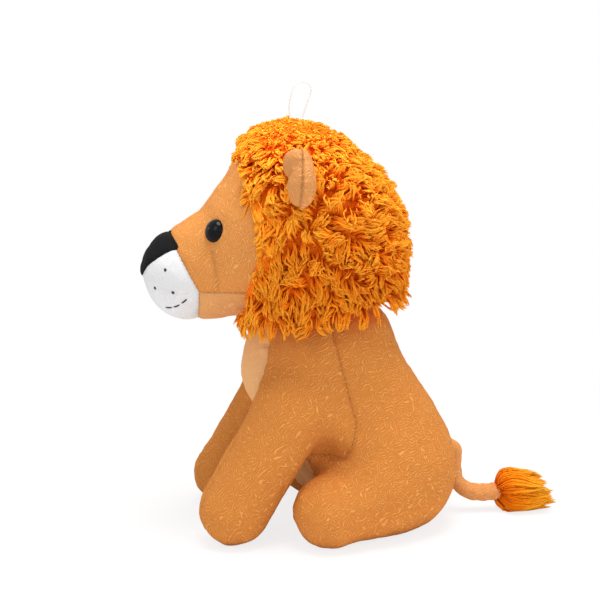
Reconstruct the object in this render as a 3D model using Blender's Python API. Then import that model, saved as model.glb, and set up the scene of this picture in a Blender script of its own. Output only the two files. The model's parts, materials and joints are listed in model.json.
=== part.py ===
"""Sitting plush lion: sewn nap covers over stuffing, a furry mane with ears, and a tufted tail.

Metres, +Z up. The lion faces -Y and its left side is +X. The origin is on the floor under the seat.
"""
import math

import bmesh
import bpy
from mathutils import Matrix, Vector

X, Y, Z = Vector((1, 0, 0)), Vector((0, 1, 0)), Vector((0, 0, 1))
SIDES = {"left": 1, "right": -1}

# Cloth and clearances
CLOTH = 0.0018
GAP = 0.0003
RUNNING_GAP = 0.0006
SOLE_FLAT = 0.0005
OVERRUN = 0.4

# Body
BODY_HEIGHT = 0.104
BODY_HALF_WIDTH = 0.052
BODY_HALF_DEPTH = 0.050
BODY_FOOTING = 0.008
NECK_LEAD = 0.036
NECK_RADIUS = 0.040
NECK_DOME = 0.025
CHEST_PANEL_HALF_WIDTH = 0.017
CHEST_PANEL_SEAT = 0.006
CHEST_PANEL_TILT = math.radians(20)
SIDE_SEAM_LEAD = 0.005
SIDE_SEAM_TILT = math.radians(14)
HAUNCH_SEAM_SHARE = 0.4615
HAUNCH_SEAM_HEIGHT = BODY_HEIGHT * HAUNCH_SEAM_SHARE

# Legs
FRONT_LEG_RADIUS = 0.021
FRONT_PAW_RADIUS = 0.0195
SHOULDER_SHARE = 0.654
SHOULDER_HEIGHT = BODY_HEIGHT * SHOULDER_SHARE
SHOULDER_INSET = 0.0127
SHOULDER_SETBACK = 0.0165
FRONT_LEG_STEP = 0.030
FRONT_LEG_SPREAD = 0.004
HIND_LEG_RADIUS = 0.021
HIND_FOOT_RADIUS = 0.0202
HIP_INSET = 0.013
HIP_LEAD = 0.010
HIND_LEG_STEP = 0.026
HIND_LEG_SPREAD = 0.009
LEG_OPENING_RADIUS = 0.012

# Head
HEAD_LENGTH = 0.135
HEAD_HALF_WIDTH = 0.047
HEAD_HALF_HEIGHT = 0.046
HEAD_BEHIND_NECK = 0.038
HEAD_LIFT = 0.038
MUZZLE_DROP = 0.025
FACE_DEPTH_UNDER_MANE = 0.044
CHIN_SEAM_DROP = 0.031
MUZZLE_LENGTH = 0.0295
MUZZLE_SEAM_TILT = math.radians(28)
NOSE_HALF_WIDTH = 0.0170
NOSE_HEIGHT = 0.024
NOSE_LENGTH = 0.0165
NOSE_RISE = 0.0225
NOSE_THICKNESS = 0.0011

# Eyes
EYE_RADIUS = 0.0064
EYE_DOME = 0.0050
EYE_SINK = 0.0010
EYE_SETBACK = 0.037
EYE_RISE = math.radians(34)
EYE_YAW = math.radians(36)
EYE_PITCH = math.radians(20)
EYE_STEM_RADIUS = 0.0020
EYE_STEM_LENGTH = 0.0100
WASHER_RADIUS = 0.0070
WASHER_THICKNESS = 0.0015
WASHER_DEPTH = 0.0034

# Whisker dots and mouth
DOT_RADIUS = 0.0007
DOT_HEIGHT = 0.0005
THREAD_RADIUS = 0.00035

# Mane and ears
MANE_HEIGHT = 0.1175
MANE_HALF_WIDTH = 0.057
MANE_FRONT = 0.048
MANE_BACK = 0.0495
MANE_BELOW_HEAD = 0.059
MANE_HEM_RISE = 0.014
EAR_HALF_LENGTH = 0.0172
EAR_HALF_WIDTH = 0.0165
EAR_HALF_THICKNESS = 0.0062
EAR_ROOT = 0.0063
EAR_TILT = math.radians(30)
EAR_LEAD = 0.015

# Tail
TAIL_RADIUS = 0.0039
TAIL_ROOT_SHARE = 0.4183
TAIL_ROOT_HEIGHT = BODY_HEIGHT * TAIL_ROOT_SHARE
TAIL_ROOT_PROUD = 0.0006
TAIL_DROP = 0.0334
TAIL_RUN = 0.0265
TUFT_LENGTH = 0.036
TUFT_RADIUS = 0.0130
TUFT_OVERLAP = 0.003

# Hanging loop
LOOP_HEIGHT = 0.0185
LOOP_WIDTH = 0.0115
LOOP_THREAD_RADIUS = 0.0004

# Fullness of the rear and front halves of a level section, where 2 is an ellipse
BODY_FULLNESS = (2.5, 2.0)
NECK_FULLNESS = (2.0, 2.0)
MANE_FULLNESS = (2.1, 2.9)

# Ranges of the joints
FRONT_LEG_RANGE = (-2, 25)
HIND_LEG_RANGE = (-4, 15)
EAR_RANGE = (-20, 20)
TAIL_RANGE = (-30, 30)

# Faces round the soft forms
BODY_SIDES = 24
HEAD_SIDES = 20
LEG_SIDES = 14
EAR_SIDES = 20
SMALL_SIDES = 12
DOT_SIDES = 8
SWEEP_STEPS = 3
LOOP_STEPS = 3
ROOT_TURNS = (-90, -58, -28, 0)
PAW_TURNS = (0, 32, 60, 80, 90)
DOME_TURNS = (0, 30, 55, 75)

# Height, lean, half depth and half width up the body, as shares of the four body sizes
BODY_SHARES = (
    (0.200, 0.06, 0.80, 0.97),
    (0.400, 0.23, 0.94, 1.00),
    (0.635, 0.61, 1.00, 0.885),
    (0.770, 0.86, 0.98, 0.81),
    (0.885, 0.97, 0.91, 0.79),
)
# Height, half depth and half width of the rounded seat, as shares of its footing and of the body sizes
SEAT_SHARES = ((-1.0, 0.0, 0.0), (-0.5, 0.36, 0.42), (0.0, 0.52, 0.60), (1.0, 0.73, 0.84))
NECK_SHARES = ((0.0, 1.0), (0.35, 0.95), (0.65, 0.80), (0.88, 0.53), (1.0, 0.0))
# Length from the back, drop, half width and half height along the head, as shares of the head sizes
HEAD_SHARES = (
    (0.000, 0.36, 0.00, 0.00),
    (0.052, 0.24, 0.72, 0.72),
    (0.126, 0.12, 0.89, 0.91),
    (0.281, 0.04, 0.98, 1.00),
    (0.459, 0.00, 1.00, 1.00),
    (0.607, 0.20, 0.894, 0.935),
    (0.681, 0.44, 0.787, 0.841),
    (0.741, 0.76, 0.681, 0.696),
    (0.793, 0.88, 0.596, 0.641),
    (0.867, 1.00, 0.532, 0.554),
    (0.933, 0.96, 0.426, 0.446),
    (0.978, 0.92, 0.255, 0.261),
    (1.000, 0.88, 0.00, 0.00),
)
# Height, reach in front of the neck, reach behind it and half width up the mane, as shares of the mane sizes
MANE_SHARES = (
    (0.00, 0.875, 0.69, 0.79),
    (0.05, 0.96, 0.81, 0.84),
    (0.12, 1.00, 0.91, 0.90),
    (0.23, 1.00, 0.97, 0.95),
    (0.37, 1.00, 1.00, 1.00),
    (0.52, 1.00, 0.94, 1.00),
    (0.65, 1.00, 0.81, 0.955),
    (0.76, 1.00, 0.63, 0.86),
    (0.85, 0.99, 0.39, 0.70),
    (0.93, 0.87, 0.19, 0.49),
    (0.98, 0.64, -0.05, 0.26),
    (1.00, 0.375, -0.364, 0.00),
)
# Depth and size of the ear's two dished panels, from the flat seam outwards
EAR_BACK_SHARES = ((0.30, 0.95), (0.63, 0.75), (0.87, 0.45), (1.0, 0.0))
EAR_FRONT_SHARES = ((0.30, 0.97), (0.80, 0.86), (1.0, 0.68), (0.80, 0.40), (0.68, 0.0))
# Run and drop along the tail
TAIL_SHARES = ((0.0, 0.0), (0.12, 0.14), (0.14, 0.33), (0.14, 0.56), (0.18, 0.78), (0.34, 0.94),
               (0.55, 1.0), (0.78, 1.0), (1.0, 0.98))
TUFT_SHARES = ((0.0, 0.38), (0.08, 0.66), (0.25, 0.91), (0.47, 1.0), (0.70, 0.90), (0.88, 0.58), (1.0, 0.0))
# Outline of the nose from its tip up one side to the middle of its top
NOSE_SHARES = ((0.0, 0.0), (0.22, 0.08), (0.68, 0.48), (1.0, 0.80), (0.85, 0.93), (0.45, 0.98))
# Setback from the nose, as a share of the muzzle's length, and angle above the side, in degrees
DOT_PLACES = ((0.40, 13), (0.22, -22), (0.53, -16))
MOUTH_LINES = (((0.39, -45), (0.45, -43), (0.51, -41)), ((0.53, -40), (0.59, -37), (0.65, -35)),
               ((0.68, -33), (0.73, -30), (0.78, -27)))
# Setback from the crown and height of the hanging thread above the mane
LOOP_SHARES = ((0.13, -0.01), (0.10, 0.35), (0.25, 0.76), (0.45, 0.93), (0.75, 1.00), (1.02, 0.92),
               (1.13, 0.74), (0.98, 0.45), (0.70, -0.05))


def clear_scene():
    for item in list(bpy.data.objects):
        bpy.data.objects.remove(item)


def material(name, colour, roughness):
    made = bpy.data.materials.new(name)
    made.use_nodes = True
    shader = made.node_tree.nodes["Principled BSDF"]
    shader.inputs["Base Color"].default_value = (*colour, 1)
    shader.inputs["Roughness"].default_value = roughness
    shader.inputs["Metallic"].default_value = 0
    return made


def between(rows, place):
    """The row at a place along a table whose first column rises, mixed from its two neighbours."""
    for low, high in zip(rows, rows[1:]):
        if place <= high[0]:
            part = (place - low[0]) / (high[0] - low[0])
            return [a + (b - a) * part for a, b in zip(low, high)]
    return list(rows[-1])


def ring_points(centre, across, along, sides, fullness=(2, 2)):
    """Points round a rounded outline; fullness is the power for its far and near halves, 2 for an ellipse."""
    points = []
    for step in range(sides):
        turn = 2 * math.pi * step / sides
        power = 2 / fullness[0 if math.sin(turn) >= 0 else 1]
        reach_x = math.copysign(abs(math.cos(turn)) ** power, math.cos(turn))
        reach_y = math.copysign(abs(math.sin(turn)) ** power, math.sin(turn))
        points.append(centre + across * reach_x + along * reach_y)
    return points


def loft(rows, sides):
    """A closed form through rows of (centre, across, along, fullness); a row with no width is a point."""
    form = bmesh.new()
    rings = []
    for centre, across, along, *fullness in rows:
        if across.length == 0:
            rings.append([form.verts.new(centre)])
        else:
            rings.append([form.verts.new(p) for p in ring_points(centre, across, along, sides, *fullness)])
    for low, high in zip(rings, rings[1:]):
        for step in range(sides):
            ahead = (step + 1) % sides
            below = [low[step % len(low)], low[ahead % len(low)]]
            above = [high[ahead % len(high)], high[step % len(high)]]
            form.faces.new(list(dict.fromkeys(below + above)))
    for ring in (rings[0], rings[-1]):
        if len(ring) > 1:
            form.faces.new(ring)
    bmesh.ops.recalc_face_normals(form, faces=form.faces)
    return form


def grow(form, distance):
    """Moves the skin out along its normals, or in where the distance is negative."""
    form.normal_update()
    moves = [(vert, vert.normal * vert.calc_shell_factor() * distance) for vert in form.verts]
    for vert, move in moves:
        vert.co += move
    return form


def trim(form, point, normal):
    """Cuts off what lies beyond a plane, and closes the cut."""
    everything = form.verts[:] + form.edges[:] + form.faces[:]
    cut = bmesh.ops.bisect_plane(form, geom=everything, plane_co=point, plane_no=normal, clear_outer=True)
    edges = [item for item in cut["geom_cut"] if isinstance(item, bmesh.types.BMEdge)]
    bmesh.ops.contextual_create(form, geom=edges)
    bmesh.ops.recalc_face_normals(form, faces=form.faces)
    return form


def hull(points):
    form = bmesh.new()
    for point in points:
        form.verts.new(point)
    made = bmesh.ops.convex_hull(form, input=form.verts)
    loose = [item for item in made["geom_interior"] if isinstance(item, bmesh.types.BMVert)]
    bmesh.ops.delete(form, geom=loose, context="VERTS")
    bmesh.ops.recalc_face_normals(form, faces=form.faces)
    return form


def swept(form, pivot, axis, degrees):
    """The space that a form passes through as it turns about an axis."""
    points = []
    whole = degrees[1] - degrees[0]
    for angle in [degrees[0] + whole * step / SWEEP_STEPS for step in range(SWEEP_STEPS + 1)] + [0]:
        turn = Matrix.Rotation(math.radians(angle), 3, axis)
        points += [pivot + turn @ (vert.co - pivot) for vert in form.verts]
    form.free()
    return hull(points)


def box(low, high):
    form = bmesh.new()
    bmesh.ops.create_cube(form, size=1)
    size = Matrix.Diagonal((*(high - low), 1))
    bmesh.ops.transform(form, matrix=Matrix.Translation((low + high) / 2) @ size, verts=form.verts)
    return form


def place(name, form, finish=None, carrier=None):
    """Turns a form into a named object; without a finish it is a cutter."""
    mesh = bpy.data.meshes.new(name)
    form.to_mesh(mesh)
    form.free()
    item = bpy.data.objects.new(name, mesh)
    return settle(item, finish, carrier)


def settle(item, finish, carrier):
    bpy.context.scene.collection.objects.link(item)
    if finish is None:
        item.hide_render = True
        item.display_type = "WIRE"
        return item
    item.data.materials.append(finish)
    if isinstance(item.data, bpy.types.Mesh):
        item.data.shade_smooth()
    if carrier is not None:
        item.parent = carrier
        item.matrix_parent_inverse = Matrix.Translation(-carrier.location)
    return item


def pivot_empty(name, point):
    empty = bpy.data.objects.new(name, None)
    empty.location = point
    bpy.context.scene.collection.objects.link(empty)
    return empty


def shape(item, operation, *tools):
    for tool in tools:
        modifier = item.modifiers.new(tool.name, "BOOLEAN")
        modifier.operation = operation
        modifier.solver = "EXACT"
        modifier.object = tool
    return item


def thread(name, points, radius, finish, carrier, smoothness):
    curve = bpy.data.curves.new(name, "CURVE")
    curve.dimensions = "3D"
    curve.bevel_depth = radius
    curve.bevel_resolution = smoothness
    curve.use_fill_caps = True
    spline = curve.splines.new("POLY")
    spline.points.add(len(points) - 1)
    for target, point in zip(spline.points, points):
        target.co = (*point, 1)
    return settle(bpy.data.objects.new(name, curve), finish, carrier)


def body_rows():
    """Height, centre, half depth and half width up the body."""
    rows = [(high * BODY_FOOTING, 0, deep * BODY_HALF_DEPTH, wide * BODY_HALF_WIDTH)
            for high, deep, wide in SEAT_SHARES]
    rows += [(high * BODY_HEIGHT, -lean * NECK_LEAD, deep * BODY_HALF_DEPTH, wide * BODY_HALF_WIDTH)
             for high, lean, deep, wide in BODY_SHARES]
    rows += [(BODY_HEIGHT + high * NECK_DOME, -NECK_LEAD, wide * NECK_RADIUS, wide * NECK_RADIUS)
             for high, wide in NECK_SHARES]
    return rows


def body_form(inset):
    """The stuffed body under its round neck, on which the head turns."""
    rows = []
    for high, middle, deep, wide in body_rows():
        fullness = BODY_FULLNESS if high < BODY_HEIGHT else NECK_FULLNESS
        rows.append((Vector((0, middle, high)), X * wide, Y * deep, fullness))
    return trim(grow(loft(rows, BODY_SIDES), -inset), Z * inset, -Z)


def body_section(height):
    high, middle, deep, wide = between(body_rows(), height)
    return middle, deep, wide


def ball_rows(centre, direction, radius, turns):
    """Centres and radii of rings round a ball, at angles from its waist; 90 degrees is its tip."""
    rows = []
    for turn in turns:
        level = 0 if abs(turn) == 90 else math.cos(math.radians(turn))
        rows.append((centre + direction * radius * math.sin(math.radians(turn)), radius * level))
    return rows


def leg_form(start, end, start_radius, end_radius, inset):
    """A sausage from a ball at the joint to a rounded paw, flat where it meets the floor."""
    line = end - start
    direction = line.normalized()
    across = direction.cross(Z if abs(direction.z) < 0.8 else Y).normalized()
    along = direction.cross(across)
    rows = ball_rows(start, direction, start_radius, ROOT_TURNS)
    rows.append(((start + end) / 2, (start_radius + end_radius) / 2))
    rows += ball_rows(end, direction, end_radius, PAW_TURNS)
    form = loft([(centre, across * radius, along * radius) for centre, radius in rows], LEG_SIDES)
    return trim(grow(form, -inset), Z * inset, -Z)


def front_leg_ends(side):
    middle, deep, wide = body_section(SHOULDER_HEIGHT)
    shoulder = Vector((side * (wide - SHOULDER_INSET), middle - deep + SHOULDER_SETBACK, SHOULDER_HEIGHT))
    paw = shoulder + Vector((side * FRONT_LEG_SPREAD, -FRONT_LEG_STEP, 0))
    paw.z = FRONT_PAW_RADIUS - SOLE_FLAT
    return shoulder, paw


def hind_leg_ends(side):
    height = HIND_LEG_RADIUS + CLOTH
    middle, deep, wide = body_section(height)
    hip = Vector((side * (wide - HIP_INSET), middle - HIP_LEAD, height))
    foot = hip + Vector((side * HIND_LEG_SPREAD, -HIND_LEG_STEP, 0))
    foot.z = HIND_FOOT_RADIUS - SOLE_FLAT
    return hip, foot


def front_leg_form(side, inset):
    return leg_form(*front_leg_ends(side), FRONT_LEG_RADIUS, FRONT_PAW_RADIUS, inset)


def hind_leg_form(side, inset):
    return leg_form(*hind_leg_ends(side), HIND_LEG_RADIUS, HIND_FOOT_RADIUS, inset)


def leg_opening(name, ends, radius):
    """The hole at the top of a leg's cover, through which it is stuffed."""
    start, end = ends
    direction = (start - end).normalized()
    across = direction.orthogonal().normalized()
    along = direction.cross(across)
    reach = direction * radius * 2
    rows = [(start, across * LEG_OPENING_RADIUS, along * LEG_OPENING_RADIUS),
            (start + reach, across * LEG_OPENING_RADIUS, along * LEG_OPENING_RADIUS)]
    return place(name, loft(rows, SMALL_SIDES))


def make_legs(kind, ends_of, form_of, radius, axis, degrees, skins):
    """Covers and stuffing of one pair of legs; returns the space that each sweeps."""
    cloth, filling = skins
    spaces = {}
    for word, side in SIDES.items():
        pivot = ends_of(side)[0]
        empty = pivot_empty(f"{kind}_leg_{word}_pivot", pivot)
        cover = place(f"{kind}_leg_{word}_cover", form_of(side, 0), cloth, empty)
        hollow = place(f"{kind}_leg_{word}_hollow", form_of(side, CLOTH))
        shape(cover, "DIFFERENCE", leg_opening(f"{kind}_leg_{word}_opening", ends_of(side), radius), hollow)
        place(f"{kind}_leg_{word}_stuffing", form_of(side, CLOTH + GAP), filling, empty)
        limits = sorted(angle * side for angle in degrees) if axis == Z else degrees
        space = swept(form_of(side, -RUNNING_GAP), pivot, axis, limits)
        spaces[word] = place(f"{kind}_leg_{word}_space", space)
    return spaces


def seam_block(name, half_width, floor, back, tilt):
    """The space in front of a seam that slants forward from a place on the floor, within a width."""
    form = box(Vector((-half_width, -OVERRUN, floor)), Vector((half_width, 0, OVERRUN)))
    for vert in form.verts:
        if vert.co.y > -OVERRUN / 2:
            vert.co.y = back - vert.co.z * math.tan(tilt)
    return place(name, form)


def half_space(name, side):
    near, far = sorted((side * GAP / 2, side * OVERRUN))
    return place(name, box(Vector((near, -OVERRUN, -OVERRUN)), Vector((far, OVERRUN, OVERRUN))))


def make_body(cloth, chest_cloth, filling, front_spaces, hind_spaces, tail_space):
    hollow = place("body_hollow", body_form(CLOTH))
    width, seat, lead = CHEST_PANEL_HALF_WIDTH, CHEST_PANEL_SEAT, SIDE_SEAM_LEAD
    chest = seam_block("chest_region", width, -OVERRUN, seat, CHEST_PANEL_TILT)
    chest_clear = seam_block("chest_clearance", width + GAP, -OVERRUN, seat + GAP, CHEST_PANEL_TILT)
    flank = seam_block("flank_region", OVERRUN, HAUNCH_SEAM_HEIGHT, -lead, SIDE_SEAM_TILT)
    flank_clear = seam_block("flank_clearance", OVERRUN, HAUNCH_SEAM_HEIGHT - GAP, GAP - lead, SIDE_SEAM_TILT)
    every_leg = [*front_spaces.values(), *hind_spaces.values()]
    panel = place("chest_panel", body_form(0), chest_cloth)
    shape(panel, "INTERSECT", chest)
    shape(panel, "DIFFERENCE", hollow, *every_leg)
    for word, side in SIDES.items():
        half = half_space(f"{word}_half", side)
        front = place(f"body_front_{word}", body_form(0), cloth)
        shape(front, "INTERSECT", half, flank)
        shape(front, "DIFFERENCE", chest_clear, hollow, front_spaces[word], hind_spaces[word])
        rear = place(f"body_rear_{word}", body_form(0), cloth)
        shape(rear, "INTERSECT", half)
        shape(rear, "DIFFERENCE", chest_clear, flank_clear, hollow)
        shape(rear, "DIFFERENCE", front_spaces[word], hind_spaces[word], tail_space)
    core = place("body_stuffing", body_form(CLOTH + GAP), filling)
    shape(core, "DIFFERENCE", *every_leg, tail_space)


def head_middle():
    return BODY_HEIGHT + NECK_DOME + HEAD_LIFT


def head_rows():
    """Place along -Y, centre height, half width and half height, from the back of the head to the nose."""
    middle = head_middle()
    start = -NECK_LEAD + HEAD_BEHIND_NECK
    rows = []
    for length, drop, wide, tall in HEAD_SHARES:
        high = middle - drop * MUZZLE_DROP
        rows.append((start - length * HEAD_LENGTH, high, wide * HEAD_HALF_WIDTH, tall * HEAD_HALF_HEIGHT))
    return rows


def head_form(inset):
    rows = [(Vector((0, forward, high)), X * wide, Z * tall) for forward, high, wide, tall in head_rows()]
    return grow(loft(rows, HEAD_SIDES), -inset)


def head_point(forward, angle):
    """A point of the head's skin, at a place along -Y and an angle above its side."""
    rows = [(-row[0], *row[1:]) for row in head_rows()]
    place_along, high, wide, tall = between(rows, -forward)
    return Vector((wide * math.cos(angle), forward, high + tall * math.sin(angle)))


def head_normal(forward, angle):
    step = HEAD_LENGTH / 100
    along = head_point(forward - step, angle) - head_point(forward + step, angle)
    turn = math.radians(1)
    around = head_point(forward, angle + turn) - head_point(forward, angle - turn)
    return along.cross(around).normalized() * -1


def mirrored(point, side):
    return Vector((point.x * side, point.y, point.z))


def nose_tip():
    return head_rows()[-1][0]


def muzzle_block(name, setback):
    """The space in front of the muzzle seam, which leans forward above the chin seam."""
    high = head_rows()[-4][1]
    near = nose_tip() + MUZZLE_LENGTH + setback
    form = bmesh.new()
    knee = high - (CHIN_SEAM_DROP - MUZZLE_DROP)
    slope = math.tan(MUZZLE_SEAM_TILT)
    outline = [(near, -OVERRUN), (near, knee), (near - (OVERRUN - knee) * slope, OVERRUN),
               (-OVERRUN * 2, OVERRUN), (-OVERRUN * 2, -OVERRUN)]
    for side in (-OVERRUN, OVERRUN):
        form.faces.new([form.verts.new((side, forward, height)) for forward, height in outline])
    bmesh.ops.bridge_loops(form, edges=form.edges[:])
    bmesh.ops.recalc_face_normals(form, faces=form.faces)
    return place(name, form)


def nose_prism():
    """The nose's outline, seen from the front, carried back to the nose's length."""
    bottom = head_middle() - MUZZLE_DROP + NOSE_RISE - NOSE_HEIGHT
    side = [(wide * NOSE_HALF_WIDTH, bottom + high * NOSE_HEIGHT) for wide, high in NOSE_SHARES]
    top = [(0, bottom + NOSE_HEIGHT)]
    outline = side + top + [(-across, height) for across, height in reversed(side[1:])]
    form = bmesh.new()
    for forward in (nose_tip() - NOSE_LENGTH, nose_tip() + NOSE_LENGTH):
        form.faces.new([form.verts.new((across, forward, height)) for across, height in outline])
    bmesh.ops.bridge_loops(form, edges=form.edges[:])
    bmesh.ops.recalc_face_normals(form, faces=form.faces)
    return form


def eye_frame(side):
    """The place of an eye on the head, and the direction it looks in."""
    point = mirrored(head_point(nose_tip() + EYE_SETBACK, EYE_RISE), side)
    level = math.cos(EYE_PITCH)
    outward = Vector((side * math.sin(EYE_YAW) * level, -math.cos(EYE_YAW) * level, math.sin(EYE_PITCH)))
    return point, outward


def turned(point, outward, profile, sides):
    """A turned form along a direction from rows of (distance out, radius)."""
    across = outward.orthogonal().normalized()
    along = outward.cross(across)
    rows = [(point + outward * reach, across * radius, along * radius) for reach, radius in profile]
    return loft(rows, sides)


def dome(reach, radius):
    """Rows of a dome of a given height and radius."""
    turns = [math.radians(turn) for turn in DOME_TURNS]
    return [(reach * math.sin(turn), radius * math.cos(turn)) for turn in turns] + [(reach, 0)]


def make_eyes(black, plastic, empty, face, core, skin_clear):
    for word, side in SIDES.items():
        point, outward = eye_frame(side)
        seat = point - outward * EYE_SINK
        rows = [(-EYE_SINK, EYE_RADIUS)] + dome(EYE_DOME + EYE_SINK, EYE_RADIUS)
        eye = place(f"eye_{word}", turned(seat, outward, rows, LEG_SIDES), black, empty)
        stem_rows = [(-EYE_STEM_LENGTH, EYE_STEM_RADIUS), (EYE_SINK + EYE_DOME / 2, EYE_STEM_RADIUS)]
        stem = place(f"eye_{word}_stem", turned(seat, outward, stem_rows, SMALL_SIDES))
        shape(eye, "DIFFERENCE", skin_clear)
        shape(eye, "UNION", stem)
        hole_radius = EYE_STEM_RADIUS + GAP
        hole_rows = [(-EYE_STEM_LENGTH, hole_radius), (EYE_STEM_LENGTH, hole_radius)]
        hole = place(f"eye_{word}_hole", turned(seat, outward, hole_rows, SMALL_SIDES))
        shape(face, "DIFFERENCE", hole)
        back = -WASHER_DEPTH - WASHER_THICKNESS
        washer_rows = [(back, WASHER_RADIUS), (-WASHER_DEPTH, WASHER_RADIUS)]
        washer = place(f"eye_washer_{word}", turned(seat, outward, washer_rows, LEG_SIDES), plastic, empty)
        shape(washer, "DIFFERENCE", hole)
        pocket_rows = [(-EYE_STEM_LENGTH - GAP, hole_radius), (back - GAP, hole_radius),
                       (back - GAP, WASHER_RADIUS + GAP), (EYE_STEM_LENGTH, WASHER_RADIUS + GAP)]
        pocket = place(f"eye_{word}_pocket", turned(seat, outward, pocket_rows, LEG_SIDES))
        shape(core, "DIFFERENCE", pocket)


def make_whiskers(thread_finish, empty):
    for word, side in SIDES.items():
        for count, (setback, degrees) in enumerate(DOT_PLACES, 1):
            forward, angle = nose_tip() + setback * MUZZLE_LENGTH, math.radians(degrees)
            outward = mirrored(head_normal(forward, angle), side)
            point = mirrored(head_point(forward, angle), side) + outward * GAP
            dot = turned(point, outward, dome(DOT_HEIGHT, DOT_RADIUS), DOT_SIDES)
            place(f"whisker_dot_{word}_{count}", dot, thread_finish, empty)


def make_mouth(thread_finish, empty):
    for word, side in SIDES.items():
        for count, line in enumerate(MOUTH_LINES, 1):
            points = []
            for setback, degrees in line:
                forward, angle = nose_tip() + setback * MUZZLE_LENGTH, math.radians(degrees)
                lift = head_normal(forward, angle) * (GAP + THREAD_RADIUS)
                points.append(mirrored(head_point(forward, angle) + lift, side))
            thread(f"mouth_stitch_{word}_{count}", points, THREAD_RADIUS, thread_finish, empty, 1)


def mane_form():
    bottom = head_middle() - MANE_BELOW_HEAD
    rows = []
    for high, front, back, wide in MANE_SHARES:
        low_y, high_y = -NECK_LEAD - front * MANE_FRONT, -NECK_LEAD + back * MANE_BACK
        centre = Vector((0, (low_y + high_y) / 2, bottom + high * MANE_HEIGHT))
        half_depth = 0 if wide == 0 else (high_y - low_y) / 2
        rows.append((centre, X * wide * MANE_HALF_WIDTH, Y * half_depth, MANE_FULLNESS))
    form = loft(rows, HEAD_SIDES)
    hem = Vector((0, -NECK_LEAD - MANE_FRONT, bottom))
    slope = Vector((0, MANE_HEM_RISE, -(MANE_FRONT + MANE_BACK))).normalized()
    return trim(form, hem, slope)


def ear_frame(side):
    """Hinge point, outward direction and edgewise direction of an ear."""
    outward = Vector((side * math.cos(EAR_TILT), 0, math.sin(EAR_TILT)))
    upward = Vector((-side * math.sin(EAR_TILT), 0, math.cos(EAR_TILT)))
    middle = Vector((0, -NECK_LEAD - EAR_LEAD, head_middle()))
    wide, tall = HEAD_HALF_WIDTH * math.cos(EAR_TILT), HEAD_HALF_HEIGHT * math.sin(EAR_TILT)
    skin = middle + Vector((side * wide, 0, tall))
    return skin + outward * (EAR_ROOT + GAP), outward, upward


def ear_rows(side, shares, direction, seam):
    hinge, outward, upward = ear_frame(side)
    middle = hinge + outward * (EAR_HALF_LENGTH - EAR_ROOT)
    rows = [(middle + direction * seam, outward * EAR_HALF_LENGTH, upward * EAR_HALF_WIDTH)]
    for deep, size in shares:
        rows.append((middle + direction * deep * EAR_HALF_THICKNESS, outward * EAR_HALF_LENGTH * size,
                     upward * EAR_HALF_WIDTH * size))
    return rows


def make_ears(cloth, mane):
    for word, side in SIDES.items():
        hinge, outward, upward = ear_frame(side)
        empty = pivot_empty(f"ear_{word}_pivot", hinge)
        back = ear_rows(side, EAR_BACK_SHARES, Y, GAP / 2)
        front = ear_rows(side, EAR_FRONT_SHARES, -Y, GAP / 2)
        place(f"ear_{word}_back", loft(back, EAR_SIDES), cloth, empty)
        place(f"ear_{word}_front", loft(front, EAR_SIDES), cloth, empty)
        whole = loft(list(reversed(front[:4])) + back, EAR_SIDES)
        space = swept(grow(whole, RUNNING_GAP), hinge, upward, EAR_RANGE)
        shape(mane, "DIFFERENCE", place(f"ear_{word}_space", space))


def face_block(back, low, high):
    """The space in front of a place on the head, between two heights."""
    return box(Vector((-OVERRUN, -OVERRUN, low)), Vector((OVERRUN, back, high)))


def make_head(finishes):
    empty = pivot_empty("head_pivot", Vector((0, -NECK_LEAD, BODY_HEIGHT)))
    skin_clear = place("head_clearance", head_form(-GAP))
    hollow = place("head_hollow", head_form(CLOTH))
    neck = place("neck_clearance", body_form(-RUNNING_GAP))
    muzzle, muzzle_clear = muzzle_block("muzzle_region", 0), muzzle_block("muzzle_clearance", GAP)
    back = -NECK_LEAD - MANE_FRONT + FACE_DEPTH_UNDER_MANE
    chin_top = head_middle() - CHIN_SEAM_DROP
    below = place("below_chin_seam", face_block(back, 0, chin_top - GAP))
    above = place("above_chin_seam", face_block(back, chin_top, OVERRUN))
    ahead = place("face_side", face_block(back + GAP, 0, OVERRUN))
    front_clear = shape(place("face_clearance", head_form(-GAP)), "INTERSECT", ahead)

    snout = place("muzzle_cover", head_form(0), finishes["white"], empty)
    shape(snout, "INTERSECT", muzzle)
    shape(snout, "DIFFERENCE", hollow)
    face = place("face_cover", head_form(0), finishes["cloth"], empty)
    shape(face, "INTERSECT", above)
    shape(face, "DIFFERENCE", muzzle_clear, hollow)
    chin = place("chin_panel", head_form(0), finishes["pale"], empty)
    shape(chin, "INTERSECT", below)
    shape(chin, "DIFFERENCE", muzzle_clear, hollow, neck)
    nose = place("nose_patch", head_form(-GAP - NOSE_THICKNESS), finishes["black"], empty)
    shape(nose, "INTERSECT", place("nose_outline", nose_prism()))
    shape(nose, "DIFFERENCE", skin_clear)
    core = place("head_stuffing", head_form(CLOTH + GAP), finishes["filling"], empty)
    shape(core, "DIFFERENCE", neck)
    mane = place("mane", mane_form(), finishes["fur"], empty)
    shape(mane, "DIFFERENCE", front_clear, hollow, neck)
    make_eyes(finishes["eye"], finishes["plastic"], empty, face, core, skin_clear)
    make_whiskers(finishes["thread"], empty)
    make_mouth(finishes["thread"], empty)
    make_ears(finishes["cloth"], mane)
    make_loop(finishes["loop"], empty)


def smooth_path(points, steps):
    """A curve that passes through each point, with some steps between neighbours."""
    ends = [points[0] * 2 - points[1], *points, points[-1] * 2 - points[-2]]
    path = []
    for a, b, c, d in zip(ends, ends[1:], ends[2:], ends[3:]):
        for step in range(steps):
            t = step / steps
            path.append(b + (c - a) * t / 2 + (a * 2 - b * 5 + c * 4 - d) * t ** 2 / 2
                        + (b * 3 - a - c * 3 + d) * t ** 3 / 2)
    return path + [points[-1]]


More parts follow.
